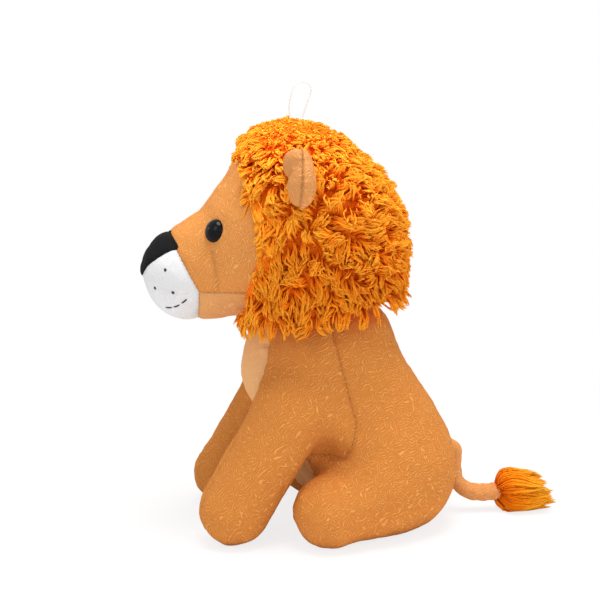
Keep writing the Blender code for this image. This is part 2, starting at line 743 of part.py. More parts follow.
def make_loop(finish, empty):
    """The thin thread that the lion hangs by, standing on the top of its mane."""
    lead = NECK_LEAD + MANE_SHARES[-1][1] * MANE_FRONT
    crown = Vector((0, -lead, head_middle() - MANE_BELOW_HEAD + MANE_HEIGHT))
    points = [crown + Y * share * LOOP_WIDTH + Z * (GAP + rise * LOOP_HEIGHT) for share, rise in LOOP_SHARES]
    thread("hang_loop", smooth_path(points, LOOP_STEPS), LOOP_THREAD_RADIUS, finish, empty, 2)


def tail_root():
    middle, deep, wide = body_section(TAIL_ROOT_HEIGHT)
    return Vector((0, middle + deep + TAIL_ROOT_PROUD, TAIL_ROOT_HEIGHT))


def tail_rows(radius):
    path = [tail_root() + Y * run * TAIL_RUN - Z * drop * TAIL_DROP for run, drop in TAIL_SHARES]
    rows = [(path[0] - Y * radius, X * 0, Y * 0)]
    for count, point in enumerate(path):
        ahead, behind = path[min(count + 1, len(path) - 1)], path[max(count - 1, 0)]
        direction = (ahead - behind).normalized()
        rows.append((point, X * radius, direction.cross(X) * radius))
    return rows


def make_tail(cloth, fur):
    """Tail and tuft; returns the space that its root needs in the body."""
    root = tail_root()
    empty = pivot_empty("tail_pivot", root)
    place("tail", loft(tail_rows(TAIL_RADIUS), SMALL_SIDES), cloth, empty)
    start = root + Y * (TAIL_RUN - TUFT_OVERLAP)
    start.z = TUFT_RADIUS - SOLE_FLAT
    rows = []
    for run, wide in TUFT_SHARES:
        rows.append((start + Y * run * TUFT_LENGTH, X * wide * TUFT_RADIUS, Z * wide * TUFT_RADIUS))
    tuft = place("tail_tuft", trim(loft(rows, LEG_SIDES), Vector((0, 0, 0)), -Z), fur, empty)
    bore = place("tail_end_space", grow(loft(tail_rows(TAIL_RADIUS), SMALL_SIDES), GAP))
    shape(tuft, "DIFFERENCE", bore)
    near = grow(loft(tail_rows(TAIL_RADIUS)[:6], SMALL_SIDES), RUNNING_GAP)
    return place("tail_space", swept(near, root, Z, TAIL_RANGE))


def main():
    clear_scene()
    cloth = material("tan_nap", (0.72, 0.30, 0.07), 0.85)
    pale = material("pale_nap", (0.74, 0.39, 0.15), 0.85)
    fur = material("orange_fur", (0.80, 0.25, 0.01), 0.70)
    white = material("white_nap", (0.80, 0.80, 0.80), 0.85)
    black = material("black_nap", (0.02, 0.02, 0.02), 0.75)
    filling = material("fibre_filling", (0.85, 0.85, 0.82), 0.95)
    eye = material("eye_plastic", (0.01, 0.01, 0.01), 0.08)
    plastic = material("washer_plastic", (0.80, 0.80, 0.78), 0.40)
    thread_finish = material("black_thread", (0.03, 0.03, 0.03), 0.60)
    loop = material("clear_thread", (0.85, 0.85, 0.85), 0.30)
    tail_space = make_tail(cloth, fur)
    skins = (cloth, filling)
    front = make_legs("front", front_leg_ends, front_leg_form, FRONT_LEG_RADIUS, -X, FRONT_LEG_RANGE, skins)
    hind = make_legs("hind", hind_leg_ends, hind_leg_form, HIND_LEG_RADIUS, Z, HIND_LEG_RANGE, skins)
    make_body(cloth, pale, filling, front, hind, tail_space)
    make_head({"cloth": cloth, "pale": pale, "fur": fur, "white": white, "black": black, "filling": filling,
               "eye": eye, "plastic": plastic, "thread": thread_finish, "loop": loop})


main()
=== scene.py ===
# %% [markdown]
# # A sitting plush lion
# The toy is sewn from short, curly nap cloth, stuffed with fibre, and wears a mane of long wavy pile. The
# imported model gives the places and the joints, and stays as it is. Every soft solid in it is dressed here by
# a piece with the cloth, pile and seams of the real toy.

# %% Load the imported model
import json
import math

import bmesh
import bpy
import numpy as np
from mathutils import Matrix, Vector
from mathutils.bvhtree import BVHTree
from mathutils.kdtree import KDTree

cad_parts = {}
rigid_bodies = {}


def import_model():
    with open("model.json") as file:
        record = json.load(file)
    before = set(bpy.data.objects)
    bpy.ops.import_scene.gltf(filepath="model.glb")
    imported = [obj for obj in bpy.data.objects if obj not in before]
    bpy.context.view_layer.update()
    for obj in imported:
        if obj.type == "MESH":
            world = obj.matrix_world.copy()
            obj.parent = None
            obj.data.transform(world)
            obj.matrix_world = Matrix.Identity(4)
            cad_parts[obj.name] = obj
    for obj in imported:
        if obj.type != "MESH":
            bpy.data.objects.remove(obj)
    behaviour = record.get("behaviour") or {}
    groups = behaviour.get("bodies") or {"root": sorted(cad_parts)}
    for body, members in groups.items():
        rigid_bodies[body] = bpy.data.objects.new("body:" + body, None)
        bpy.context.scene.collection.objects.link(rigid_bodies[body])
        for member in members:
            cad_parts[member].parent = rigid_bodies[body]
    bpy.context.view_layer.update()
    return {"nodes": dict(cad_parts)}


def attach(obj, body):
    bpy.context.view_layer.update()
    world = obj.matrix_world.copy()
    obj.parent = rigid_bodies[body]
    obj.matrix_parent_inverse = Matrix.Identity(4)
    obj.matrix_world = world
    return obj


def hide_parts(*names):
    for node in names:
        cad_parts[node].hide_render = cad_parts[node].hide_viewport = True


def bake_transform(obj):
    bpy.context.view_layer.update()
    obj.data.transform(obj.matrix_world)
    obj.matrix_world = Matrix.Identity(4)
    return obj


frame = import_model()
MM = 0.001
SIDES = {"left": 1, "right": -1}


# %% [markdown]
# ## The camera
# The photograph was taken from the lion's left, a little ahead of its side and a little above it, with a long
# lens. A long lens keeps the near and far legs almost the same size. The places are in metres, as Blender has
# them.

# %% Camera
CAMERA_PLACE, LOOKED_AT = (0.8755, -0.1390, 0.3121), (0, -0.047, 0.125)
FOCAL_LENGTH, SENSOR_WIDTH = 98.2, 36


def placed(name, data):
    """A new object with some data, in the scene."""
    item = bpy.data.objects.new(name, data)
    bpy.context.scene.collection.objects.link(item)
    return item


def aimed(item, place, target):
    """Puts an object at a place, turns it to look at a target, and gives the distance between them."""
    item.location = place
    aim = Vector(target) - item.location
    item.rotation_euler = aim.to_track_quat("-Z", "Y").to_euler()
    return aim.length


camera_data = bpy.data.cameras.new("camera")
camera_data.lens = FOCAL_LENGTH
camera_data.sensor_width = SENSOR_WIDTH
camera = placed("camera", camera_data)
bpy.context.scene.camera = camera
print("camera distance in mm:", round(aimed(camera, CAMERA_PLACE, LOOKED_AT) / MM))

# %% [markdown]
# ## The hanging thread
# A thin clear thread stands in a loop on the crown, for the hook it hung on in the shop. The thread, the
# tail, the mouth and the sections of the larger forms all need smooth lines through a few points, so that
# helper comes first.

# %% Smooth curves through points
def smooth_path(points, steps=4):
    """A curve through each point, with some steps between neighbours, as an array of rows."""
    rows = np.asarray(points, float)
    ends = np.vstack([rows[0] * 2 - rows[1], rows, rows[-1] * 2 - rows[-2]])
    path = []
    for a, b, c, d in zip(ends, ends[1:], ends[2:], ends[3:]):
        for step in range(steps):
            t = step / steps
            bend = (a * 2 - b * 5 + c * 4 - d) * t ** 2 / 2
            turn = (b * 3 - a - c * 3 + d) * t ** 3 / 2
            path.append(b + (c - a) * t / 2 + bend + turn)
    return np.array(path + [rows[-1]])


def length_of(path):
    """The length of a path, in the unit of its points."""
    return float(np.linalg.norm(np.diff(path, axis=0), axis=1).sum())


# %% [markdown]
# A curve with a round bevel is the lightest way to make a thread, and it is then turned into a mesh. Its
# route repeats the one in the solid model: shares of the loop's width and height, read along the thread.

# %% Hanging thread
LOOP_SHARES = ((0.13, -0.01), (0.10, 0.35), (0.25, 0.76), (0.45, 0.93), (0.75, 1.00), (1.02, 0.92),
               (1.13, 0.74), (0.98, 0.45), (0.70, -0.05))
CROWN = (0, -54 * MM, 225.5 * MM)
LOOP_WIDE, LOOP_TALL, LOOP_FOOT, THREAD_RADIUS = 11.5, 18.5, 0.3, 0.4 * MM
loop_route = [(0, CROWN[1] + share * LOOP_WIDE * MM, CROWN[2] + (LOOP_FOOT + rise * LOOP_TALL) * MM)
              for share, rise in LOOP_SHARES]
loop_path = smooth_path(loop_route)
loop_length = length_of(loop_path)
loop_curve = bpy.data.curves.new("hanging_thread", "CURVE")
loop_curve.dimensions = "3D"
loop_curve.bevel_depth = THREAD_RADIUS
loop_curve.bevel_resolution = 3
loop_curve.use_fill_caps = True
loop_spline = loop_curve.splines.new("POLY")
loop_spline.points.add(len(loop_path) - 1)
for target, point in zip(loop_spline.points, loop_path):
    target.co = (*point, 1)
loop_guide = placed("loop_guide", loop_curve)
graph = bpy.context.evaluated_depsgraph_get()
hanging_thread = placed("hanging_thread", bpy.data.meshes.new_from_object(loop_guide.evaluated_get(graph)))
bpy.data.objects.remove(loop_guide)
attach(hanging_thread, "head")
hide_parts("hang_loop")
print("hanging thread length in mm:", round(loop_length / MM, 1))

# %% [markdown]
# ## Shader maths
# A finish is a small program. One class wraps a socket, so that sums of values read as plain Python, and one
# method adds any other node. Each operator needs two methods, so that 1 - mask works as well as mask - 1.

# %% Values and finishes
COLOUR_RESULT = 2
FULL_TURN = 6.2832


def operator(kind):
    """Two methods for an operator, for a value on its left and for a value on its right."""
    return lambda self, other: self.sum(kind, self, other), lambda self, other: self.sum(kind, other, self)


class Value:
    """A socket that can be used in a sum."""

    def __init__(self, finish, socket):
        self.finish = finish
        self.socket = socket

    def sum(self, operation, *others):
        return self.finish.node("ShaderNodeMath", {"operation": operation}, dict(enumerate(others)))

    __add__, __radd__ = operator("ADD")
    __sub__, __rsub__ = operator("SUBTRACT")
    __mul__, __rmul__ = operator("MULTIPLY")
    __truediv__, __rtruediv__ = operator("DIVIDE")


class Finish:
    """A material and its nodes."""

    def __init__(self, name, **uniform):
        self.material = bpy.data.materials.new(name)
        self.material.use_nodes = True
        self.tree = self.material.node_tree
        self.shader = self.tree.nodes["Principled BSDF"]
        for socket, value in uniform.items():
            self.shader.inputs[socket.replace("_", " ")].default_value = value

    def node(self, kind, settings, sockets, output=0):
        """The output of a new node, whose settings are made before its sockets get their values or links."""
        made = self.tree.nodes.new(kind)
        for name, value in settings.items():
            setattr(made, name, value)
        for name, value in sockets.items():
            target = self.find(made, name)
            if isinstance(value, Value):
                self.tree.links.new(value.socket, target)
            else:
                target.default_value = value
        return Value(self, made.outputs[output])

    def find(self, made, name):
        if isinstance(name, int):
            return made.inputs[name]
        usable = [socket for socket in made.inputs if socket.enabled]
        return next(socket for socket in usable if name in (socket.identifier, socket.name))

    def place(self):
        return self.node("ShaderNodeTexCoord", {}, {}, "Object")

    def noise(self, scale, detail=2.0, warp=0.0):
        sockets = {"Vector": self.place(), "Scale": scale, "Detail": detail, "Distortion": warp}
        return self.node("ShaderNodeTexNoise", {}, sockets)

    def mark(self, name):
        return self.node("ShaderNodeAttribute", {"attribute_name": name}, {}, "Fac")

    def between(self, value, low, high):
        """0 below low, 1 above high, smooth between them."""
        return self.node("ShaderNodeMapRange", {"interpolation_type": "SMOOTHSTEP"},
                         {"Value": value, "From Min": low, "From Max": high})

    def ridges(self, direction, pitch, bend):
        """Ridges across a direction, a pitch apart in metres, bent by a noise: 1 on one, 0 between two."""
        both = {0: self.place(), 1: direction}
        across = self.node("ShaderNodeVectorMath", {"operation": "DOT_PRODUCT"}, both, "Value")
        phase = (across / pitch + self.noise(170, 1.0, 0.4) * bend) * FULL_TURN
        return self.between(phase.sum("SINE", phase), 0.0, 1.0)

    def mix(self, share, a, b):
        colours = {"Factor_Float": share, "A_Color": colour(a), "B_Color": colour(b)}
        return self.node("ShaderNodeMix", {"data_type": "RGBA"}, colours, COLOUR_RESULT)

    def shade(self, colour_value, share):
        """A colour made lighter or darker by a share, 1 being unchanged."""
        return self.node("ShaderNodeVectorMath", {"operation": "SCALE"}, {0: colour_value, "Scale": share})

    def bump(self, height, depth, strength):
        return self.node("ShaderNodeBump", {}, {"Height": height, "Distance": depth, "Strength": strength})

    def finish(self, **varying):
        for name, value in varying.items():
            self.tree.links.new(value.socket, self.shader.inputs[name.replace("_", " ")])
        return self.material


def linear(shades):
    """A colour as the eye names it, red, green and blue from 0 to 255, as the light it reflects."""
    shares = [shade / 255 for shade in shades]
    return tuple(v / 12.92 if v < 0.04045 else ((v + 0.055) / 1.055) ** 2.4 for v in shares)


def colour(value):
    """What a colour socket takes: a value as it is, and a named colour as light."""
    return value if isinstance(value, Value) else (*linear(value), 1)


# %% [markdown]
# ## The nap cloth
# The cloth is a knit with a short pile whose ends curl into small squiggles, a few millimetres long. Their
# tips catch the light and the hollows between them lie in shade. Bent ridges look like such curls: each ridge
# is painted lighter, as a painted highlight, and the hollow between two is painted darker, as painted shade,
# besides the bump they give. They run in three directions, each in its own patches, and a finer noise breaks
# them up where the pile lies flat.

# %% Nap cloth
NAP_RIDGES = (((0.25, 0.87, 0.43), 1.25 * MM, 3.6), ((0.3, -0.4, 0.87), 1.2 * MM, 3.8),
              ((0.72, 0.45, -0.53), 1.3 * MM, 4.0))
NAP_DEPTH = 0.6 * MM


def nap_finish(name, base, hollow_shade, light, curl, seam_shade=0.84):
    """Nap with painted highlight and shade on its curls; curl is how much they show, from 0 to 1, and
    seam_shade how light a seam's painted shade leaves it.
    """
    made = Finish(name, Roughness=0.9, Specular_IOR_Level=0.1, Sheen_Weight=0.06, Sheen_Roughness=0.5,
                  Sheen_Tint=colour(light))
    parting, turning = made.noise(210, 1.0, 0.6), made.noise(180, 1.0, 0.6)
    first, second = made.between(parting, 0.46, 0.51), made.between(turning, 0.47, 0.52)
    level, upright, slanted = (made.ridges(*row) for row in NAP_RIDGES)
    relief = (level * first + upright * (1 - first)) * second + slanted * (1 - second)
    broken = made.between(made.noise(420, 1.0), 0.40, 0.54)
    relief = relief * (0.25 + broken * 0.75)
    tone, mottle = made.noise(22, 3.0), made.noise(900, 2.0)
    # Painted highlight and shade: the ridges of the curls are lighter and the hollows between them darker.
    body = made.mix(1 - curl, made.mix(relief, hollow_shade, light), base)
    # Painted shade: near a seam the colour is darker, for the shade in its groove; seam_shade sets how much.
    shade = (0.88 + tone * 0.16 + mottle * 0.12) * (1 - made.mark("seam") * (1 - seam_shade))
    return made.finish(Base_Color=made.shade(body, shade),
                       Normal=made.bump(relief * curl + mottle * 0.2, NAP_DEPTH, 0.7))


tan_nap = nap_finish("tan_nap", (210, 136, 64), (195, 118, 50), (228, 159, 86), 0.8, 0.9)
face_nap = nap_finish("face_nap", (220, 147, 77), (204, 128, 60), (238, 174, 106), 0.65)
chin_nap = nap_finish("chin_nap", (222, 160, 102), (206, 140, 80), (238, 182, 124), 0.5)
pale_nap = nap_finish("pale_nap", (228, 173, 117), (217, 158, 100), (240, 190, 136), 0.3)
ear_nap = nap_finish("ear_nap", (216, 149, 88), (198, 128, 68), (232, 172, 112), 0.5, 0.7)
white_nap = nap_finish("white_nap", (220, 220, 221), (206, 206, 207), (232, 232, 233), 0.3, 0.86)
black_nap = nap_finish("black_nap", (24, 24, 25), (14, 14, 15), (38, 38, 40), 0.4)
print("nap cloths:", [material.name for material in bpy.data.materials])

# %% [markdown]
# ## The long pile
# The mane and the tail's tuft are wavy acrylic pile. Each lock is deep orange at its root and bright at its
# tip, and no two locks are quite the same colour. Both come from values that each strand's points carry: how
# far along the strand a point is, and a tone. The tone is partly each lock's own colour and partly painted
# light: locks high on the mane, far round from the cheek and on the upper side of the tail's tuft get a
# lighter tone, as light falls on them. The cloth that the pile grows from is a plainer nap.

# %% Pile
def pile_finish(name, roots, middle, tips):
    made = Finish(name, Roughness=0.8, Specular_IOR_Level=0.08)
    along, tone = made.mark("along"), made.mark("tone")
    # The tone blends in the tips' colour and lightens the whole strand: each lock's own colour and painted
    # light together.
    strand = made.mix(made.between(along, 0.0, 0.7), roots, made.mix(tone * 0.5, middle, tips))
    strand = made.mix(made.between(along, 0.4, 1.0) * (0.5 + tone * 0.5), strand, tips)
    fibre = made.noise(700, 2.0)
    return made.finish(Base_Color=made.shade(strand, 0.86 + tone * 0.22 + fibre * 0.1),
                       Normal=made.bump(fibre, 0.2 * MM, 0.5))


mane_pile = pile_finish("mane_pile", (244, 114, 12), (251, 132, 10), (255, 180, 50))
tuft_pile = pile_finish("tuft_pile", (234, 117, 6), (252, 149, 10), (255, 184, 46))
backing_cloth = nap_finish("backing_cloth", (238, 116, 18), (228, 104, 12), (246, 126, 24), 0.5)
print("pile:", mane_pile.name, "and", tuft_pile.name)

# %% [markdown]
# ## Plastic and thread
# The eyes are polished black plastic, the washers behind them are dull white, and the stitches are twisted
# thread. All are nearly even, so one finish with a fine grain in its colour, gloss and relief does for them.
# Only the gloss, the size of the grain and the colour differ.

# %% Plastic and thread
def plain_finish(name, base, light, roughness, grain, **uniform):
    made = Finish(name, **uniform)
    grains, smear = made.noise(grain, 3.0), made.noise(grain / 12, 2.0)
    return made.finish(Base_Color=made.mix(made.between(grains, 0.3, 0.75), base, light),
                       Roughness=roughness + smear * 0.06,
                       Normal=made.bump(grains, 0.05 * MM, 0.3))


def coated(item, material):
    """Gives a piece one material and smooth shading."""
    item.data.materials.clear()
    item.data.materials.append(material)
    item.data.shade_smooth()


eye_gloss = plain_finish("eye_gloss", (10, 10, 12), (16, 16, 19), 0.04, 900, Specular_IOR_Level=0.12)
washer_plastic = plain_finish("washer_plastic", (226, 226, 222), (236, 236, 232), 0.36, 1500)
black_thread = plain_finish("black_thread", (22, 22, 24), (46, 46, 50), 0.55, 2600)
tan_thread = plain_finish("tan_thread", (150, 84, 36), (178, 108, 54), 0.6, 2600)
clear_thread = plain_finish("clear_thread", (236, 236, 236), (248, 248, 248), 0.22, 1800, Alpha=0.55)
coated(hanging_thread, clear_thread)
print("finishes:", len(bpy.data.materials))

# %% [markdown]
# ## Soft forms
# A stuffed toy has no hard edges where two parts meet: the filling rounds the corner. A distance field does
# that. Each form gives every point in space its distance to the form's skin, and two distances can be mixed
# so that the forms flow into each other. The skin is then the surface where the distance is nothing.

# %% Fields of rounded forms
LEAST_HALF_SIZE = 0.5


def stack_field(points, rows, axis, offset_axis, across_axis, fullness=(2.0, 2.0)):
    """Distance to a form whose sections, along an axis, have a middle and two half sizes, all in mm."""
    place = points[:, axis]
    middle, half_offset, half_across = (np.interp(place, rows[:, 0], rows[:, column]) for column in (1, 2, 3))
    half_offset, half_across = (np.maximum(half, LEAST_HALF_SIZE) for half in (half_offset, half_across))
    along = points[:, offset_axis] - middle
    power = np.where(along >= 0, fullness[0], fullness[1])
    offset_part = np.abs(along / half_offset) ** power
    across_part = np.abs(points[:, across_axis] / half_across) ** power
    side = ((offset_part + across_part) ** (1 / power) - 1) * np.minimum(half_offset, half_across)
    beyond = np.maximum(rows[0, 0] - place, place - rows[-1, 0])
    return np.where(beyond > 0, np.maximum(side, 0) + beyond, side)


def limb_field(points, start, end, start_radius, end_radius):
    """Distance to a limb that tapers between two balls."""
    start, end = np.asarray(start, float), np.asarray(end, float)
    line = end - start
    share = np.clip((points - start) @ line / (line @ line), 0, 1)
    nearest = start + share[:, None] * line
    return np.linalg.norm(points - nearest, axis=1) - (start_radius + (end_radius - start_radius) * share)


def blended(a, b, reach):
    """The union of two fields, rounded over a reach."""
    mixed = np.maximum(reach - np.abs(a - b), 0) / reach
    return np.minimum(a, b) - mixed ** 2 * reach / 4


def bell(distance, width):
    """1 at no distance, falling away to nothing over a width."""
    return np.exp(-(distance / width) ** 2)


def ramp(values, start, reach):
    """0 before a start, 1 a reach further on; a reach below nothing goes down."""
    return np.clip((values - start) / reach, 0, 1)


def halved(points):
    """Points of both sides folded onto the left one."""
    return np.abs(points) * (1, 0, 0) + points * (0, 1, 1)


# %% [markdown]
# ## From a field to a mesh
# The skin is found cell by cell on a grid. Each cell that the skin crosses gets one point, in the middle of
# the crossings on its edges, and the points of neighbouring cells are joined by four-sided faces. Such a mesh
# is even all over, which cloth simulation and subdivision like.

# %% Skin of a field
def cells_beside(where, others, shift, limit):
    """The cells on one side of some edges of the grid, and which of them lie inside the grid."""
    cells = where.copy()
    cells[:, others] -= shift
    return cells, np.all((cells >= 0) & (cells < limit), axis=1)


def skin_of(field, low, high, cell):
    """Points and four-sided faces of the surface where a field is zero, in mm."""
    axes = [np.arange(a, b + cell, cell) for a, b in zip(low, high)]
    grid = np.stack(np.meshgrid(*axes, indexing="ij"), -1)
    limit = np.array(grid.shape[:3]) - 1
    value = field(grid.reshape(-1, 3)).reshape(grid.shape[:3])
    total, count = np.zeros((*limit, 3)), np.zeros(limit)
    crossings = []
    for axis in range(3):
        first, second = [slice(None)] * 3, [slice(None)] * 3
        first[axis], second[axis] = slice(0, -1), slice(1, None)
        a, b = value[tuple(first)], value[tuple(second)]
        crossed = (a < 0) != (b < 0)
        where = np.argwhere(crossed)
        point = grid[tuple(first)][crossed]
        point[:, axis] += a[crossed] / (a[crossed] - b[crossed]) * cell
        others = [other for other in range(3) if other != axis]
        for shift in ((0, 0), (1, 0), (0, 1), (1, 1)):
            cells, inside = cells_beside(where, others, shift, limit)
            np.add.at(total, tuple(cells[inside].T), point[inside])
            np.add.at(count, tuple(cells[inside].T), 1)
        crossings.append((where, a[crossed] < 0, others, axis))
    used = count > 0
    number = np.full(limit, -1)
    number[used] = np.arange(used.sum())
    verts = total[used] / count[used][:, None]
    faces = []
    for where, leaving, others, axis in crossings:
        corners = []
        for shift in ((1, 1), (0, 1), (0, 0), (1, 0)):
            cells, inside = cells_beside(where, others, shift, limit)
            corners.append(np.where(inside, number[tuple(np.clip(cells, 0, limit - 1).T)], -1))
        quads = np.stack(corners, 1)
        flip = leaving if axis != 1 else ~leaving
        quads[~flip] = quads[~flip][:, ::-1]
        faces.append(quads[(quads >= 0).all(1)])
    return verts, np.vstack(faces)


# %% [markdown]
# A mesh is worked on as rows of numbers, in millimetres, so that one sum does for all its points. A
# modifier's work is made part of the mesh straight away, which keeps the pieces free of anything that could
# change later.

# %% Meshes as rows of points
def mesh_object(name, verts, faces):
    mesh = bpy.data.meshes.new(name)
    mesh.from_pydata((np.asarray(verts) * MM).tolist(), [], [list(map(int, face)) for face in faces])
    mesh.update()
    return placed(name, mesh)


def rows_of(mesh, kind):
    """The places or the normals of a mesh's points, as rows."""
    flat = np.empty(len(mesh.vertices) * 3)
    mesh.vertices.foreach_get(kind, flat)
    return flat.reshape(-1, 3)


def points_of(item):
    return rows_of(item.data, "co") / MM


def normals_of(item):
    return rows_of(item.data, "normal")


def move_points(item, points):
    item.data.vertices.foreach_set("co", (np.asarray(points) * MM).ravel())
    item.data.update()


def applied(item):
    """The object with its modifiers made part of its mesh."""
    graph = bpy.context.evaluated_depsgraph_get()
    mesh = bpy.data.meshes.new_from_object(item.evaluated_get(graph))
    item.modifiers.clear()
    item.data = mesh
    return item


def rounded(item, levels):
    """The object with each face divided, and its form rounded, some times over."""
    rounder = item.modifiers.new("rounder", "SUBSURF")
    rounder.levels = rounder.render_levels = levels
    return applied(item)


# %% [markdown]
# ## Stuffing
# Fibre filling presses the cloth out from inside, and the seams hold it in. The skin starts a little too
# small and is filled out most of the way. It is then blown up as a pressurised cloth whose seam points are
# pinned, and no point may travel further than a cap, so the toy keeps its size. A finer mesh is made
# afterwards.

# %% Stuff a skin
FILLED_SHARE, TRAVEL_SHARE, LEAST_HELD, HELD_ON_SEAM = 0.75, 0.6, 0.02, 0.9
PRESSURE, LAST_MOMENT = 1200.0, 20
WAVES = 7
NEARLY_A_TURN = 6.28


def stuffed(item, held, cap, levels):
    """Blows up a skin whose held points stay, then subdivides it."""
    before, normals = points_of(item), normals_of(item)
    filled = before + normals * (cap * FILLED_SHARE * (1 - held))[:, None]
    move_points(item, filled)
    group = item.vertex_groups.new(name="held")
    for index in np.flatnonzero(held > LEAST_HELD):
        group.add([int(index)], float(held[index]), "REPLACE")
    cloth = item.modifiers.new("cloth", "CLOTH")
    settings = cloth.settings
    settings.quality = 5
    settings.mass = 0.02
    settings.use_pressure = True
    settings.uniform_pressure_force = PRESSURE
    settings.effector_weights.gravity = 0
    settings.vertex_group_mass = "held"
    settings.pin_stiffness = 1.0
    settings.tension_stiffness = settings.compression_stiffness = 5
    settings.bending_stiffness = 0.3
    cloth.point_cache.frame_start, cloth.point_cache.frame_end = 1, LAST_MOMENT
    for moment in range(1, LAST_MOMENT + 1):
        bpy.context.scene.frame_set(moment)
    graph = bpy.context.evaluated_depsgraph_get()
    travel = rows_of(item.evaluated_get(graph).to_mesh(), "co") / MM - filled
    length = np.linalg.norm(travel, axis=1)
    after = filled + travel * np.minimum(1, cap * TRAVEL_SHARE / np.maximum(length, 1e-6))[:, None]
    growth = float(((after - before) * normals).sum(axis=1).mean())
    print(item.name, "is blown up by", round(growth, 2), "mm")
    item.modifiers.clear()
    bpy.context.scene.frame_set(1)
    move_points(item, after)
    return rounded(item, levels)


def stuffed_skin(name, field, box, cell, seams, cap, levels):
    """A stuffed skin of a field in a box; seams gives the distance to a seam, and how wide one is held."""
    verts, faces = skin_of(field, *box, cell)
    distance, width = seams
    return stuffed(mesh_object(name, verts, faces), bell(distance(verts), width) * HELD_ON_SEAM, cap, levels)


def wobble(points, size, seed):
    """Gentle unevenness between -1 and 1, with features of about a size."""
    random = np.random.default_rng(seed)
    total = np.zeros(len(points))
    for count in range(WAVES):
        wave = random.normal(size=3)
        wave *= 2 * math.pi / (size * random.uniform(0.7, 1.5)) / np.linalg.norm(wave)
        total += np.sin(points @ wave + random.uniform(0, NEARLY_A_TURN))
    return total / WAVES ** 0.5 / 1.6


# %% [markdown]
# ## Body and legs
# The body, the front legs and the hind legs are sewn from few large panels, so the cloth runs over shoulders
# and haunches without a break. One skin is made for all of them. The tables hold the same sections as the
# solid model.

# %% Body and leg fields
BODY_SECTIONS = ((-8, 0, 0, 0), (-4, 0, 18, 21.8), (0, 0, 26, 31.2), (8, 0, 36.5, 43.7),
                 (20.8, -2.2, 40, 50.4), (41.6, -8.3, 47, 52), (66, -22, 50, 46), (80, -31, 49, 42.1),
                 (92, -34.9, 45.5, 41.1), (104, -36, 40, 40), (112.7, -36, 38, 38), (120.2, -36, 32, 32),
                 (126, -36, 21.2, 21.2), (129, -36, 0, 0))
BODY_ROWS = smooth_path(BODY_SECTIONS)
SHOULDER, PAW = np.array([32.8, -56.6, 68.0]), np.array([36.8, -86.6, 19.0])
HIP, FOOT = np.array([37.6, -12.7, 22.8]), np.array([46.6, -36.0, 19.7])
HOLLOW, HOLLOW_SIZE = np.array([54.0, -36.5, 48.5]), np.array([20.0, 11.0, 12.0])
FAR_LEG_BACK = 2.2


def torso_field(points):
    """The body without legs, rounded off low at the back and hollowed between front leg and haunch."""
    half = halved(points)
    y, z = points[:, 1], points[:, 2]
    body = stack_field(half, BODY_ROWS, 2, 1, 0, (2.5, 2.0)) + 9.5 * ramp(y, 4, 26) * ramp(z, 20, -20)
    body += 1.3 * bell(z - 55, 18) * ramp(y, 0, 20) + 1.4 * bell(z - 85, 25) * ramp(y, -56, -16)
    hollow = (np.linalg.norm((half - HOLLOW) / HOLLOW_SIZE, axis=1) - 1) * HOLLOW_SIZE.min()
    return -blended(-body, hollow, 6.0)


def lion_field(points):
    """The body and the legs that flow out of it; the far front leg stands further back, as photographed."""
    half, body = halved(points), torso_field(points)
    y, z = points[:, 1], points[:, 2]
    set_back = FAR_LEG_BACK * np.interp(points[:, 2:], [8, 30, 64, 84], [-0.2, 1, 1, 0]) * (points[:, :1] < 0)
    limb = limb_field(half - set_back * (0, 1, 0), SHOULDER, PAW, 21.0, 19.5)
    front = blended(body, limb, np.interp(z, [52, 82], [1.5, 17.0]))
    hind = blended(body, limb_field(half, HIP, FOOT, 21.0, 20.2), np.interp(y, [-32, -14], [4.0, 14.0]))
    return blended(front, hind, 2.0)


# %% [markdown]
# The seams are where flat pattern pieces meet: the middle of the back, the sides, the top of each haunch, the
# edges of the chest and belly panel, and one down the front of each front leg. Each is written as a distance,
# so that the same words hold the cloth while it is filled and press the groove afterwards.

# %% Seams of the body
FAR_OFF = 99
HAUNCH_SEAM = 46.5
CHEST_FOOT, CHEST_LEAN = 2, 0.36
ARMPIT_Y, ARMPIT_Z, ARMPIT_LEAN, FAR_ARMPIT_BACK = -46, 48, 0.48, 1.8


def side_seam_y(height):
    """Where the side seam runs: straight down from the mane, then curving forward over the haunch."""
    return np.interp(height, [45, 56, 67, 121], [-27.5, -23.2, -21.6, -35.0])


def chest_seam_x(height):
    """Half the width of the chest panel, which narrows where it meets the legs."""
    return np.interp(height, [62, 80, 118], [11.5, 27.5, 21.0])


def leg_line(points):
    """Distance ahead of the plane that parts the front leg from the belly and from the hind leg's toes."""
    x, y, z = points.T
    return -(y - ARMPIT_Y - FAR_ARMPIT_BACK * (x < 0) + (ARMPIT_Z - z) * ARMPIT_LEAN)


def body_seams(points):
    """How far points are from the nearest seam, in mm."""
    side, y, z = np.abs(points[:, 0]), points[:, 1], points[:, 2]
    back = np.where((y > -20) | (z < 10), side, FAR_OFF)
    flank = np.where(z > 46, np.abs(y - side_seam_y(z)), FAR_OFF)
    on_haunch = (y < side_seam_y(z)) & (y > ARMPIT_Y) & (side > 20)
    haunch = np.where(on_haunch, np.abs(z - HAUNCH_SEAM), FAR_OFF)
    chest = np.where(y < CHEST_FOOT - CHEST_LEAN * z, np.abs(side - chest_seam_x(z)), FAR_OFF)
    line = (y - SHOULDER[1]) * (PAW[2] - SHOULDER[2]) - (z - SHOULDER[2]) * (PAW[1] - SHOULDER[1])
    shin = np.abs(side - np.interp(z, [20, 50, 80], [40.0, 37.8, 27.5]))
    leg = np.where((line > 0) & (z < 80) & (y < -66), shin, FAR_OFF)
    sole = np.where((y < -50) & (z < 34) & (side > 40) & (y > -62), np.abs(side - 47), FAR_OFF)
    return np.min([back, flank, haunch, chest, leg, sole], axis=0)


